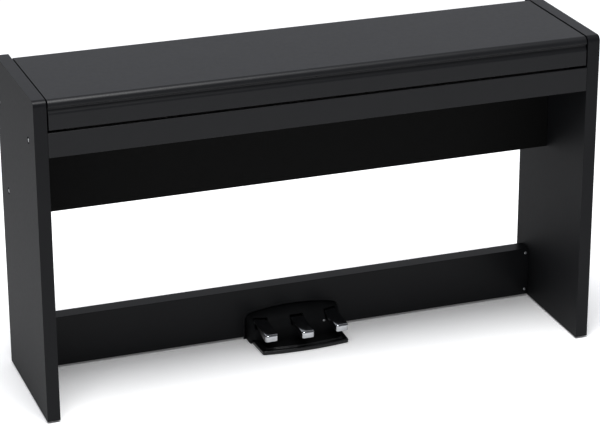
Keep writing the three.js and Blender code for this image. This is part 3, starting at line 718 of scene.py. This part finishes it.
def add_rear_sockets():
    low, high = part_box("socket_plate")
    left, bottom, top = low.x / MM, low.z / MM, high.z / MM
    z = (low.z + high.z) / 2 / MM

    def behind(x, height):
        return facing((0, 1, 0), x, high.y / MM, height)

    line = [behind(left + LINE_SOCKET_X, z)]
    stamped("line_socket_ring", jack_ring(5.2, 2.8, 10, 1.1), line, FINISH["chrome"], STAND, "steel")
    power = [behind(left + POWER_SOCKET_X, z)]
    stamped("power_socket_ring", jack_ring(5.0, 3.0, 9, 0.9), power, RUBBER, STAND, "plastic")
    pin = mesh_of(turned(bmesh.new(), [(0, -9.5), (0.9, -9.5), (0.9, -1.4), (0.5, -1), (0, -0.95)], 20))
    stamped("power_socket_pin", pin, power, FINISH["chrome"], STAND, "steel")
    section = [(-0.5, -0.5), (0.5, -0.5), (0.5, 0.5), (-0.5, 0.5)]
    contact = mesh_of(prism(bmesh.new(), section, -7.8, -2))
    contacts = [behind(left + PEDAL_SOCKET_X + dx, z + dz) for dx in (-5, 0, 5) for dz in (-2, 2)]
    stamped("pedal_socket_contacts", contact, contacts, FINISH["chrome"], STAND, "steel", 0.12)
    corners = [behind(left + dx, h) for dx in PLATE_SCREW_XS
               for h in (bottom + PLATE_SCREWS_IN, top - PLATE_SCREWS_IN)]
    stamped("socket_plate_screws", cross_screw(2.6, 1.2), corners, DARK_STEEL, STAND, "steel")


# ---- speakers ----

GRILLE_R = 47  # the perforated part, inside the rim
GRILLE_T = 1.2
HOLE_R = 1.55
HOLE_SIDES = 12
HOLE_PITCH = 4.6
ROW_PITCH = HOLE_PITCH * 0.866


def hole_centres():
    """Centres of the grille's holes, in rows that are shifted by half a pitch."""
    rows = int(GRILLE_R / ROW_PITCH) + 1
    for row in range(-rows, rows + 1):
        for column in range(-rows - 2, rows + 3):
            x, y = (column + (row % 2) / 2) * HOLE_PITCH, row * ROW_PITCH
            if math.hypot(x, y) <= GRILLE_R - HOLE_PITCH * 0.4:
                yield x, y


def cell_outline(x, y):
    """The corners and the middles of the sides of the hexagon round a hole."""
    corners = []
    for k in range(7):
        angle = math.radians(30 + 60 * k)
        reach = HOLE_PITCH / math.sqrt(3)
        corners.append((x + reach * math.cos(angle), y + reach * math.sin(angle)))
    points = []
    for p, q in zip(corners, corners[1:]):
        points += [p, ((p[0] + q[0]) / 2, (p[1] + q[1]) / 2)]
    return points


def perforated_sheet():
    """A sheet of hexagons, each with a round hole, that share their outlines' corners."""
    bm = bmesh.new()
    known = {}

    def shared(x, y):
        key = (round(x, 3), round(y, 3))
        if key not in known:
            known[key] = bm.verts.new((x * MM, y * MM, 0))
        return known[key]

    for x, y in hole_centres():
        outer = [shared(*point) for point in cell_outline(x, y)]
        angles = [math.radians(30 + 30 * k) for k in range(HOLE_SIDES)]
        hole = [bm.verts.new(((x + HOLE_R * math.cos(a)) * MM, (y + HOLE_R * math.sin(a)) * MM, 0))
                for a in angles]
        for i in range(HOLE_SIDES):
            j = (i + 1) % HOLE_SIDES
            bm.faces.new([outer[i], outer[j], hole[j], hole[i]])
    obj = new_object("grille_sheet", mesh_of(bm), [])
    solid = obj.modifiers.new("thickness", "SOLIDIFY")
    solid.thickness = GRILLE_T * MM
    solid.offset = 0
    mesh = settled(obj).data
    bpy.data.objects.remove(obj)
    return mesh


def add_speakers():
    sheet = perforated_sheet()
    ring = mesh_of(turned(bmesh.new(), [
        (46.2, -1.1), (49, -1.15), (55, -0.9), (56, -0.1), (56, 1.15), (46.2, 1.15)], 72))
    for side in ("left", "right"):
        low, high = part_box(f"speaker_grille_{side}")
        centre = (low + high) / 2
        bm = bmesh.new()
        for mesh in (sheet, ring):
            bm.from_mesh(mesh)
        bmesh.ops.translate(bm, vec=centre, verts=bm.verts)
        mesh = bpy.data.meshes.new("grille")
        bm.to_mesh(mesh)
        bm.free()
        grille = eased(new_object(f"speaker_grille_{side}_mesh", mesh, FINISH["plastic"]), 0.0)
        finished(grille, STAND, "plastic", f"speaker_grille_{side}")
        add_driver(side)


def add_driver(side):
    low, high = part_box(f"speaker_{side}")
    place = Matrix.Translation(Vector(((low.x + high.x) / 2, (low.y + high.y) / 2, low.z)))
    frame_ring = [(52, 0), (52, 3), (46.5, 5), (26, 27), (26, 29), (24, 29), (24, 26), (44, 4), (44, 0)]
    cone = [(0, 14.4), (6, 13.6), (11, 11.6), (14, 9.2), (14.6, 12.2), (37, 2.6), (38, 1.4), (40.5, 0.3),
            (43, 1.4), (43.9, 2.6), (43.9, 3.4), (40.5, 1.3), (37.4, 3.6), (14, 15.2), (0, 15.4)]
    magnet = [(0, 28), (36, 28), (37, 29), (37, 47), (36, 48), (20, 48), (19, 50), (0, 50)]
    parts = (("frame", frame_ring, "steel"), ("cone", cone, "speaker"), ("magnet", magnet, "steel"))
    for part, profile, slot in parts:
        bm = turned(bmesh.new(), profile, 56, place)
        obj = eased(new_object(f"speaker_{part}_{side}", mesh_of(bm), FINISH[slot]), 0.25, 1, 40)
        finished(obj, STAND, slot)
    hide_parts(f"speaker_{side}")


# ---- pedal unit ----

PEDALS = ("left", "middle", "right")
PEDAL_STEPS = (-1, 0, 1)
PEDAL_PITCH = (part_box("pedal_right")[0].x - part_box("pedal_middle")[0].x) / MM
PEDAL_PLAN_R = 7.5
PEDAL_EDGE_R = 1.8
PEDAL_CROWN = 0.5
PEDAL_NOSE_L = 26  # how far behind its tip a pedal's rounding fades out
PEDAL_TAPER = 0.04
HUB_R = 8.3
HUB_BORE_R = 4.4


def rounded(points, radii, steps=5):
    """A polygon with its corners rounded, as a list of points."""
    made = []
    count = len(points)
    for i, (corner, radius) in enumerate(zip(points, radii)):
        here = Vector(corner)
        if radius <= 0:
            made.append(here)
            continue
        to_last = (Vector(points[i - 1]) - here).normalized()
        to_next = (Vector(points[(i + 1) % count]) - here).normalized()
        half = to_last.angle(to_next) / 2
        reach = radius / math.tan(half)
        centre = here + (to_last + to_next).normalized() * (radius / math.sin(half))
        start, end = here + to_last * reach - centre, here + to_next * reach - centre
        sweep = start.angle_signed(end)
        for k in range(steps + 1):
            turn = -sweep * k / steps
            c, s = math.cos(turn), math.sin(turn)
            made.append(centre + Vector((start.x * c - start.y * s, start.x * s + start.y * c)))
    return made


def inset(points, distance):
    """A closed outline, listed anticlockwise, moved inwards by a distance."""
    made = []
    count = len(points)
    for i, point in enumerate(points):
        along = (points[(i + 1) % count] - points[i - 1]).normalized()
        made.append(point + Vector((-along.y, along.x)) * distance)
    return made


def nose_heights(name):
    """Heights in mm of the underside and the top of a pedal's nose."""
    mesh = NODES[f"pedal_{name}"].data
    tip = min(v.co.y for v in mesh.vertices)
    heights = [v.co.z for v in mesh.vertices if v.co.y < tip + 0.008]
    return min(heights) / MM, max(heights) / MM


def pedal_outline(tip, nose, top, pivot_y):
    """Side view of a pedal before it is sloped: nose, deep front part, plate and the block on its hub."""
    back = pivot_y + 6
    under = [(tip, top - nose), (tip + 9, top - nose), (pivot_y - 33, top - 10), (pivot_y - 29.5, top - 8),
             (pivot_y - 9.5, top - 8), (pivot_y - 7.5, top - 6.4), (back, top - 6.4)]
    over = [(back, top), (tip + 40, top), (tip + 26, top), (tip + 16, top), (tip + 9, top),
            (tip + 5.5, top), (tip, top)]
    return rounded(under + over, [1.8, 2.2, 1.0, 1.0, 1.0, 1.0, 1.0, 2.0, 0, 0, 0, 0, 0, 4.5])


def arc_drop(radius, over):
    """How far a rounded corner has fallen away at a distance past its start."""
    return radius - math.sqrt(max(0.0, radius ** 2 - over ** 2))


def pedal_rows(name):
    """Sections of a pedal from its left side to its right, sloped down towards its nose."""
    low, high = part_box(f"pedal_{name}")
    centre, half = (low.x + high.x) / 2 / MM, (high.x - low.x) / 2 / MM
    tip, top = low.y / MM, high.z / MM
    pivot_y = pivot_of(f"pedal_{name}_press").y
    nose_under, nose_top = nose_heights(name)
    outline = pedal_outline(tip, nose_top - nose_under, top, pivot_y)
    stations = [half * math.sin(math.pi / 2 * i / 10) for i in range(-10, 11)]
    stations[0], stations[-1] = -half, half
    rows = []
    for across in stations:
        back = arc_drop(PEDAL_PLAN_R, max(0.0, abs(across) - (half - PEDAL_PLAN_R)))
        shrink = min(arc_drop(PEDAL_EDGE_R, max(0.0, abs(across) - (half - PEDAL_EDGE_R))),
                     PEDAL_EDGE_R * 0.9)
        crown = PEDAL_CROWN * (across / half) ** 2
        row = []
        for y, z in inset(outline, shrink):
            near = max(0.0, 1 - (y - tip) / PEDAL_NOSE_L)
            share = near * near * (3 - 2 * near)
            on_top = max(0.0, min(1.0, (z - (top - 8)) / 8))
            taper = 1 - PEDAL_TAPER * min(1.0, max(0.0, (y - tip) / 80))
            slope = (top - nose_top) * max(0.0, pivot_y - y) / (pivot_y - tip)
            row.append((centre + across * taper, y + back * share, z - crown * on_top * share - slope))
        rows.append(row)
    return rows


def add_pedal(name):
    """A plated pedal whose sides and underside behind its nose take darker steel, as painted shade."""
    low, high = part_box(f"pedal_{name}")
    half = (high.x - low.x) / 2 / MM
    pivot = pivot_of(f"pedal_{name}_press")
    bm = lofted(pedal_rows(name))
    hub = [(HUB_R, -half + 1), (HUB_R, half - 1), (HUB_BORE_R, half - 1), (HUB_BORE_R, -half + 1)]
    turned(bm, hub, 40, facing((1, 0, 0), centre_x(f"pedal_{name}"), pivot.y, pivot.z))
    bmesh.ops.recalc_face_normals(bm, faces=bm.faces)
    for face in bm.faces:
        behind_nose = face.calc_center_median().y / MM > low.y / MM + 7
        # Faces that point sideways or down, behind the nose, get darker steel: painted shade.
        in_shade_face = abs(face.normal.x) > 0.8 or face.normal.z < -0.5
        face.material_index = int(behind_nose and in_shade_face)
    finish = [FINISH["chrome"], DARK_STEEL]
    pedal = eased(new_object(f"pedal_{name}_plate", mesh_of(bm), finish), 0.4, 2, 50)
    finished(pedal, f"pedal_{name}", "chrome", f"pedal_{name}")


SPRING_WIRE_R = 1.0
SPRING_R = 6.5
SPRING_TURNS = 6.5
SPRING_STEPS = 200
SPRING_SIDES = 10


def spring_section(x, y, z, angle):
    """Points round the wire where the coil has turned by an angle."""
    points = []
    for k in range(SPRING_SIDES):
        around = 2 * math.pi * k / SPRING_SIDES
        reach = SPRING_R + SPRING_WIRE_R * math.cos(around)
        points.append((x + reach * math.cos(angle), y + reach * math.sin(angle),
                       z + SPRING_WIRE_R * math.sin(around)))
    return points


def add_spring(name):
    """A coil spring with a flat turn at each end, given a mesh of its own."""
    low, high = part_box(f"pedal_spring_{name}")
    x, y = (low.x + high.x) / 2 / MM, (low.y + high.y) / 2 / MM
    foot, head = low.z / MM + SPRING_WIRE_R, high.z / MM - SPRING_WIRE_R
    rows = []
    for i in range(SPRING_STEPS + 1):
        t = i / SPRING_STEPS
        rise = min(1.0, max(0.0, (t - 0.12) / 0.76))
        rows.append(spring_section(x, y, foot + (head - foot) * rise, 2 * math.pi * SPRING_TURNS * t))
    coil = mesh_of(lofted(rows))
    spring = eased(new_object(f"pedal_spring_{name}_coil", coil, FINISH["steel"]), 0.0)
    finished(spring, STAND, "steel", f"pedal_spring_{name}")
    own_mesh(spring)


COVER_SWEEP = 34.0  # how far below its crest the cover's front is upright
COVER_FALL = 13.5  # how much lower its crest is at the ends
COVER_MARGIN = 4.0  # room for the rim at each end
COVER_CORNER = 24.0
COVER_CORNER_BACK = 20
COVER_WALL = 2.4
COVER_FOOT = 1.2  # height of the cover's foot beside the base plate
FOOT_ON_BORDER = 13.3  # and on the plate's raised border
FOOT_ON_PLATE = 5.3  # and on the plate's middle
SLOT_HALF = 17.3
SLOT_RISE = 2.5
SLOT_BOTTOM = 40.5
COVER_SCREW = (68, 40)  # from the middle, and from the floor


class Cover:
    """The pedal cover's box in metres (low, high), and the sizes in mm that follow from the frame."""

    low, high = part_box("pedal_cover")
    centre = centre_x("pedal_cover")
    half = (high.x - low.x) / 2 / MM - COVER_MARGIN
    rear, front, crest = high.y / MM, low.y / MM, high.z / MM
    base_half = (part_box("pedal_base")[1].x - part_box("pedal_base")[0].x) / 2 / MM
    slot_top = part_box("pedal_middle")[1].z / MM + SLOT_RISE


def cover_point(t, crest, front, foot):
    """A point (y, z) of the cover's side view, from its rear top edge (t = 0) to its front foot (t = 1)."""
    if t > 0.7:
        return front, crest - COVER_SWEEP - (crest - COVER_SWEEP - foot) * (t - 0.7) / 0.3
    s = t / 0.7
    depth = Cover.rear - front
    weights = (1 - s) ** 3, 3 * s * (1 - s) ** 2, 3 * s * s * (1 - s), s ** 3
    ys = Cover.rear, Cover.rear - 0.42 * depth, front + 0.21 * depth, front
    zs = crest, crest, crest - 12, crest - COVER_SWEEP
    return sum(w * y for w, y in zip(weights, ys)), sum(w * z for w, z in zip(weights, zs))


def level_at(height, side):
    """How far along the cover's side view it comes down to a height."""
    low, high = 0.0, 1.0
    for _ in range(30):
        middle = (low + high) / 2
        if cover_point(middle, *side)[1] > height:
            low = middle
        else:
            high = middle
    return min(max(low, 0.06), 0.9)


def cover_stations():
    """Places across the cover: evenly spread, closer at its rounded ends, and exact at the slots' sides."""
    edges = [step * PEDAL_PITCH + sign * SLOT_HALF for step in PEDAL_STEPS for sign in (-1, 1)]
    straight = Cover.half - COVER_CORNER
    ends = [straight + COVER_CORNER * math.sin(math.pi / 2 * k / 8) for k in range(9)]
    exact = sorted(ends + [-x for x in ends] + edges)
    stations = [exact[0]]
    for x in exact[1:]:
        gap = x - stations[-1]
        if gap < 0.4 and x not in edges:
            continue
        count = max(1, round(gap / 4))
        stations += [stations[-1] + gap / count * k for k in range(1, count)] + [x]
    return stations


def cover_side(x):
    """Crest, front and foot of the cover's side view at a place across it."""
    over = max(0.0, abs(x) - (Cover.half - COVER_CORNER)) / COVER_CORNER
    turn = 1 - math.sqrt(max(0.0, 1 - over ** 2))
    crest = Cover.crest - COVER_FALL * (x / Cover.half) ** 2 - 5 * turn
    foot = FOOT_ON_BORDER
    if abs(x) > Cover.base_half + 0.6:
        foot = COVER_FOOT
    elif abs(x) < Cover.base_half - 18:
        foot = FOOT_ON_PLATE
    return crest, Cover.front + COVER_CORNER_BACK * turn, foot


def cover_row(x):
    """Points down the cover at a place across it, with one exactly at the slots' top and bottom."""
    side = cover_side(x)
    stops = [0.0, level_at(Cover.slot_top, side), level_at(SLOT_BOTTOM, side), 1.0]
    levels = [a + (b - a) * k / 8 for a, b in zip(stops, stops[1:]) for k in range(8)] + [1.0]
    return [(Cover.centre + x, *cover_point(t, *side)) for t in levels]


def close_end(bm, row):
    """Joins one end of the cover to its foot with an upright wall."""
    bottom = [bm.verts.new((v.co.x, v.co.y, COVER_FOOT * MM)) for v in row[:-1]] + [row[-1]]
    for k in range(len(row) - 1):
        corners = list(dict.fromkeys([row[k], row[k + 1], bottom[k + 1], bottom[k]]))
        if (corners[0].co - corners[-1].co).length > 1e-7:
            bm.faces.new(corners)


def in_slot(face):
    middle = face.calc_center_median() / MM
    offset = min(abs(middle.x - Cover.centre - step * PEDAL_PITCH) for step in PEDAL_STEPS)
    return offset < SLOT_HALF and SLOT_BOTTOM < middle.z < Cover.slot_top


def add_pedal_cover():
    bm = bmesh.new()
    made = grid_faces(bm, [cover_row(x) for x in cover_stations()])
    close_end(bm, made[0])
    close_end(bm, made[-1])
    bmesh.ops.delete(bm, geom=[face for face in bm.faces if in_slot(face)], context="FACES")
    bmesh.ops.remove_doubles(bm, verts=bm.verts, dist=0.00002)
    obj = new_object("pedal_cover_shell", mesh_of(bm), COVER_PLASTIC_LIT)
    solid = obj.modifiers.new("wall", "SOLIDIFY")
    solid.thickness = COVER_WALL * MM
    solid.offset = -1
    eased(obj, 0.6, 2, 40)
    finished(obj, STAND, "plastic", "pedal_cover")


def add_cover_screws():
    across, height = COVER_SCREW
    places = [facing((0, -1, 0), Cover.centre + sign * across, Cover.front, height) for sign in (-1, 1)]
    stamped("pedal_cover_screws", cross_screw(3.2, 1.3), places, FINISH["steel"], STAND, "steel")


def collar_ring(shift, width, upper, radius, rise):
    """A closed line on the cover round a slot, raised from its surface, with rounded upper corners."""
    outline = rounded([(-width, SLOT_BOTTOM), (width, SLOT_BOTTOM), (width, upper), (-width, upper)],
                      [0.5, 0.5, radius, radius], 7)
    points = []
    for x, z in outline:
        side = Cover.crest - COVER_FALL * ((shift + x) / Cover.half) ** 2, Cover.front, FOOT_ON_PLATE
        y = cover_point(level_at(z, side), *side)[0]
        points.append((Cover.centre + shift + x, y - rise, z + rise * 0.5))
    return points


def add_slot_collar(name, shift):
    """Raised rim with rounded upper corners round the slot that a pedal comes out of."""
    top = Cover.slot_top
    rows = [collar_ring(shift, 19.6, top + 2.3, 5.7, -0.6), collar_ring(shift, 19.2, top + 1.9, 5.3, 0.5),
            collar_ring(shift, 17.2, top + 0.2, 3.5, 0.7), collar_ring(shift, 16.9, top - 0.1, 3.3, -2.4)]
    bm = bmesh.new()
    grid_faces(bm, rows + [rows[0]], closed=True)
    bmesh.ops.remove_doubles(bm, verts=bm.verts, dist=0.00001)
    collar = eased(new_object(f"pedal_slot_collar_{name}", mesh_of(bm), COVER_PLASTIC_LIT), 0.0)
    finished(collar, STAND, "plastic")


RIM_FOOT = 1.0
SHOULDER = 8  # how much the cover's outline falls at each end of its arch


def cover_outline(offset):
    """The cover's outline on the beam, moved outwards: up one side, over the arch and down the other."""
    side = Cover.half + offset
    ends = Cover.crest - COVER_FALL - SHOULDER
    rise = [(side, RIM_FOOT + (ends - RIM_FOOT) * k / 8) for k in range(9)]
    arch = []
    for k in range(1, 40):
        x = 1 - 2 * k / 40
        shoulder = SHOULDER * max(0.0, (abs(x) - 0.9) / 0.1) ** 2
        arch.append((x * side, Cover.crest - COVER_FALL * x * x - shoulder + offset))
    return [(Cover.centre + x, z) for x, z in rise + arch + [(-x, z) for x, z in reversed(rise)]]


def add_cover_strip(name, inner, outer, depth, finish):
    """A flat strip round the cover, against the beam."""
    rear, face = Cover.rear, Cover.rear - depth
    rows = [[(a[0], rear, a[1]), (a[0], face, a[1]), (b[0], face, b[1]), (b[0], rear, b[1])]
            for a, b in zip(cover_outline(inner), cover_outline(outer))]
    strip = eased(new_object(f"pedal_cover_{name}", mesh_of(lofted(rows)), finish), 0.0)
    finished(strip, STAND, "plastic")


BASE_SECTION = [(2, 1.0), (0.5, 1.1), (0, 2.0), (0, 7.2), (0.4, 8.8), (1.4, 9.8), (2.8, 10.1), (6.0, 9.8),
                (9.0, 9.5), (10.2, 9.8), (10.9, 10.8), (11.5, 12.1), (12.3, 12.8), (13.4, 13), (14.6, 13),
                (15.5, 12.5), (16.1, 11.2), (16.4, 8.0), (16.7, 5.6), (17.3, 5.0)]
BASE_TAPER = 4
BASE_BOW = 9
POST_IN = 4


def base_outline(half, rear, corner, shift):
    """Top view of the base plate in mm, moved inwards by shift: straight sides and a bowed front."""
    side, narrow = half - shift, half - shift - BASE_TAPER
    front, back = corner + shift, rear - shift
    bow = [(-narrow + 2 * narrow * k / 24, front - BASE_BOW * (1 - (1 - k / 12) ** 2)) for k in range(1, 24)]
    points = [(side, back), (-side, back), (-narrow, front), *bow, (narrow, front)]
    radii = [3, 3, 4.5] + [0] * len(bow) + [4.5]
    return rounded(points, radii, 6)


def add_pedal_base():
    low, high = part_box("pedal_base")
    centre, rear = centre_x("pedal_base"), high.y / MM
    corner = low.y / MM + BASE_BOW
    rows = [[(centre + x, y, z) for x, y in base_outline(Cover.base_half, rear, corner, shift)]
            for shift, z in BASE_SECTION]
    plate = eased(new_object("pedal_base_plate", mesh_of(lofted(rows)), GLOSSY_PLASTIC), 0.0)
    finished(plate, STAND, "plastic", "pedal_base")


def add_pedal_posts():
    """Posts on the base plate, with a bore for the pedals' axle."""
    pivot = pivot_of("pedal_middle_press")
    centre, end = centre_x("pedal_base"), Cover.base_half - POST_IN
    outline = rounded([(-8, 4.6 - pivot.z), (8, 4.6 - pivot.z), (8, 6.5), (-8, 6.5)], [0, 0, 5, 5], 6)
    post = prism(bmesh.new(), [(-z, y) for y, z in outline], -3, 3)
    bore = turned(bmesh.new(), [(0, -4), (4.3, -4), (4.3, 4), (0, 4)], 32)
    post = carved(mesh_of(post), mesh_of(bore))
    places = [facing_along_x(centre + x, pivot.y, pivot.z)
              for x in (-end, -PEDAL_PITCH / 2, PEDAL_PITCH / 2, end)]
    stamped("pedal_posts", post, places, FINISH["plastic"], STAND, "plastic", 0.4)


def facing_along_x(x, y, z):
    """A place in mm whose own +Z is +X, with its +X down and its +Y kept."""
    turn = Matrix(((0, 0, 1, 0), (0, 1, 0, 0), (-1, 0, 0, 0), (0, 0, 0, 1)))
    return Matrix.Translation(Vector((x, y, z)) * MM) @ turn


# ---- light, floor, camera ----

FLOOR_RADII = (4.0, 16.0, 60.0)
FLOOR_SIDES = 64


def add_floor():
    bm = bmesh.new()
    angles = [2 * math.pi * i / FLOOR_SIDES for i in range(FLOOR_SIDES)]
    rings = [[bm.verts.new((r * math.cos(a), r * math.sin(a), 0)) for a in angles] for r in FLOOR_RADII]
    bm.faces.new(rings[0])
    for inner, outer in zip(rings, rings[1:]):
        for i in range(FLOOR_SIDES):
            j = (i + 1) % FLOOR_SIDES
            bm.faces.new([inner[i], inner[j], outer[j], outer[i]])
    mesh = mesh_of(bm)
    g = Graph("floor", Specular_IOR_Level=0.0, Roughness=0.9, Emission_Strength=0.1)
    g.shader.inputs["Emission Color"].default_value = (1, 1, 1, 1)
    g.color(g.noise(3, 3), [(0.3, (0.93, 0.93, 0.93)), (0.7, (0.95, 0.95, 0.95))])
    new_object("floor", mesh, g.material)


def add_light(name, place, target, size, power):
    light = bpy.data.lights.new(name, "AREA")
    light.shape = "RECTANGLE"
    light.size, light.size_y = size
    light.energy = power
    obj = bpy.data.objects.new(name, light)
    obj.location = place
    obj.rotation_mode = "QUATERNION"
    obj.rotation_quaternion = (Vector(target) - Vector(place)).to_track_quat("-Z", "Y")
    bpy.context.scene.collection.objects.link(obj)


def add_world():
    """A white room that is dimmer overhead and behind the camera."""
    world = bpy.data.worlds.new("studio")
    world.use_nodes = True
    tree = world.node_tree
    place = tree.nodes.new("ShaderNodeTexCoord")
    split = tree.nodes.new("ShaderNodeSeparateXYZ")
    tree.links.new(place.outputs["Generated"], split.inputs["Vector"])
    levels = []
    for axis, start, end, low, high in (("Z", 0.05, 0.45, 1.0, 0.6), ("Y", -0.5, 0.1, 0.5, 1.0)):
        level = tree.nodes.new("ShaderNodeMapRange")
        for socket, value in zip(("From Min", "From Max", "To Min", "To Max"), (start, end, low, high)):
            level.inputs[socket].default_value = value
        tree.links.new(split.outputs[axis], level.inputs["Value"])
        levels.append(level.outputs["Result"])
    product = tree.nodes.new("ShaderNodeMath")
    product.operation = "MULTIPLY"
    for level, socket in zip(levels, product.inputs):
        tree.links.new(level, socket)
    background = tree.nodes["Background"]
    background.inputs["Color"].default_value = (0.965, 0.98, 1.03, 1)
    tree.links.new(product.outputs["Value"], background.inputs["Strength"])
    bpy.context.scene.world = world


CAMERA_PLACE = (-1.7815, -4.9459, 2.4603)
CAMERA_YAW, CAMERA_PITCH, CAMERA_ROLL = -0.345, -0.382, -0.004
SENSOR_MM = 36
LENS_MM = 143.44


def add_camera():
    data = bpy.data.cameras.new("camera")
    data.sensor_width = SENSOR_MM
    data.lens = LENS_MM
    data.clip_end = 200
    camera = bpy.data.objects.new("camera", data)
    camera.matrix_world = (
        Matrix.Translation(CAMERA_PLACE) @ Matrix.Rotation(CAMERA_YAW, 4, "Z")
        @ Matrix.Rotation(math.pi / 2 + CAMERA_PITCH, 4, "X") @ Matrix.Rotation(CAMERA_ROLL, 4, "Z"))
    bpy.context.scene.collection.objects.link(camera)
    bpy.context.scene.camera = camera


add_camera()
add_refined_nodes()
add_case_bolts()
add_rear_cover_screws()
add_beam_screws()
add_lid_arm_screws()
add_buffers()
add_knob()
add_indicators()
add_felt()
add_headphone_rings()
add_rear_sockets()
add_speakers()
add_pedal_cover()
add_cover_strip("rim", 2.4, 6.8, 1.0, EDGE_BAND)
# A near-black strip between the cover and its rim: painted shade of the gap along the cover's edge.
add_cover_strip("painted_shade_strip", 0.1, 2.3, 0.4, PAINTED_SHADE)
for pedal, step in zip(PEDALS, PEDAL_STEPS):
    add_slot_collar(pedal, step * PEDAL_PITCH)
add_cover_screws()
add_pedal_base()
add_pedal_posts()
for pedal in PEDALS:
    add_pedal(pedal)
    add_spring(pedal)
add_floor()
add_world()
add_light("overhead", (-0.4, -1.2, 5.0), (0, 0, 0.3), (2.8, 2.8), 330)
bpy.context.scene.view_settings.view_transform = "Standard"
bpy.context.scene.view_settings.gamma = 0.85
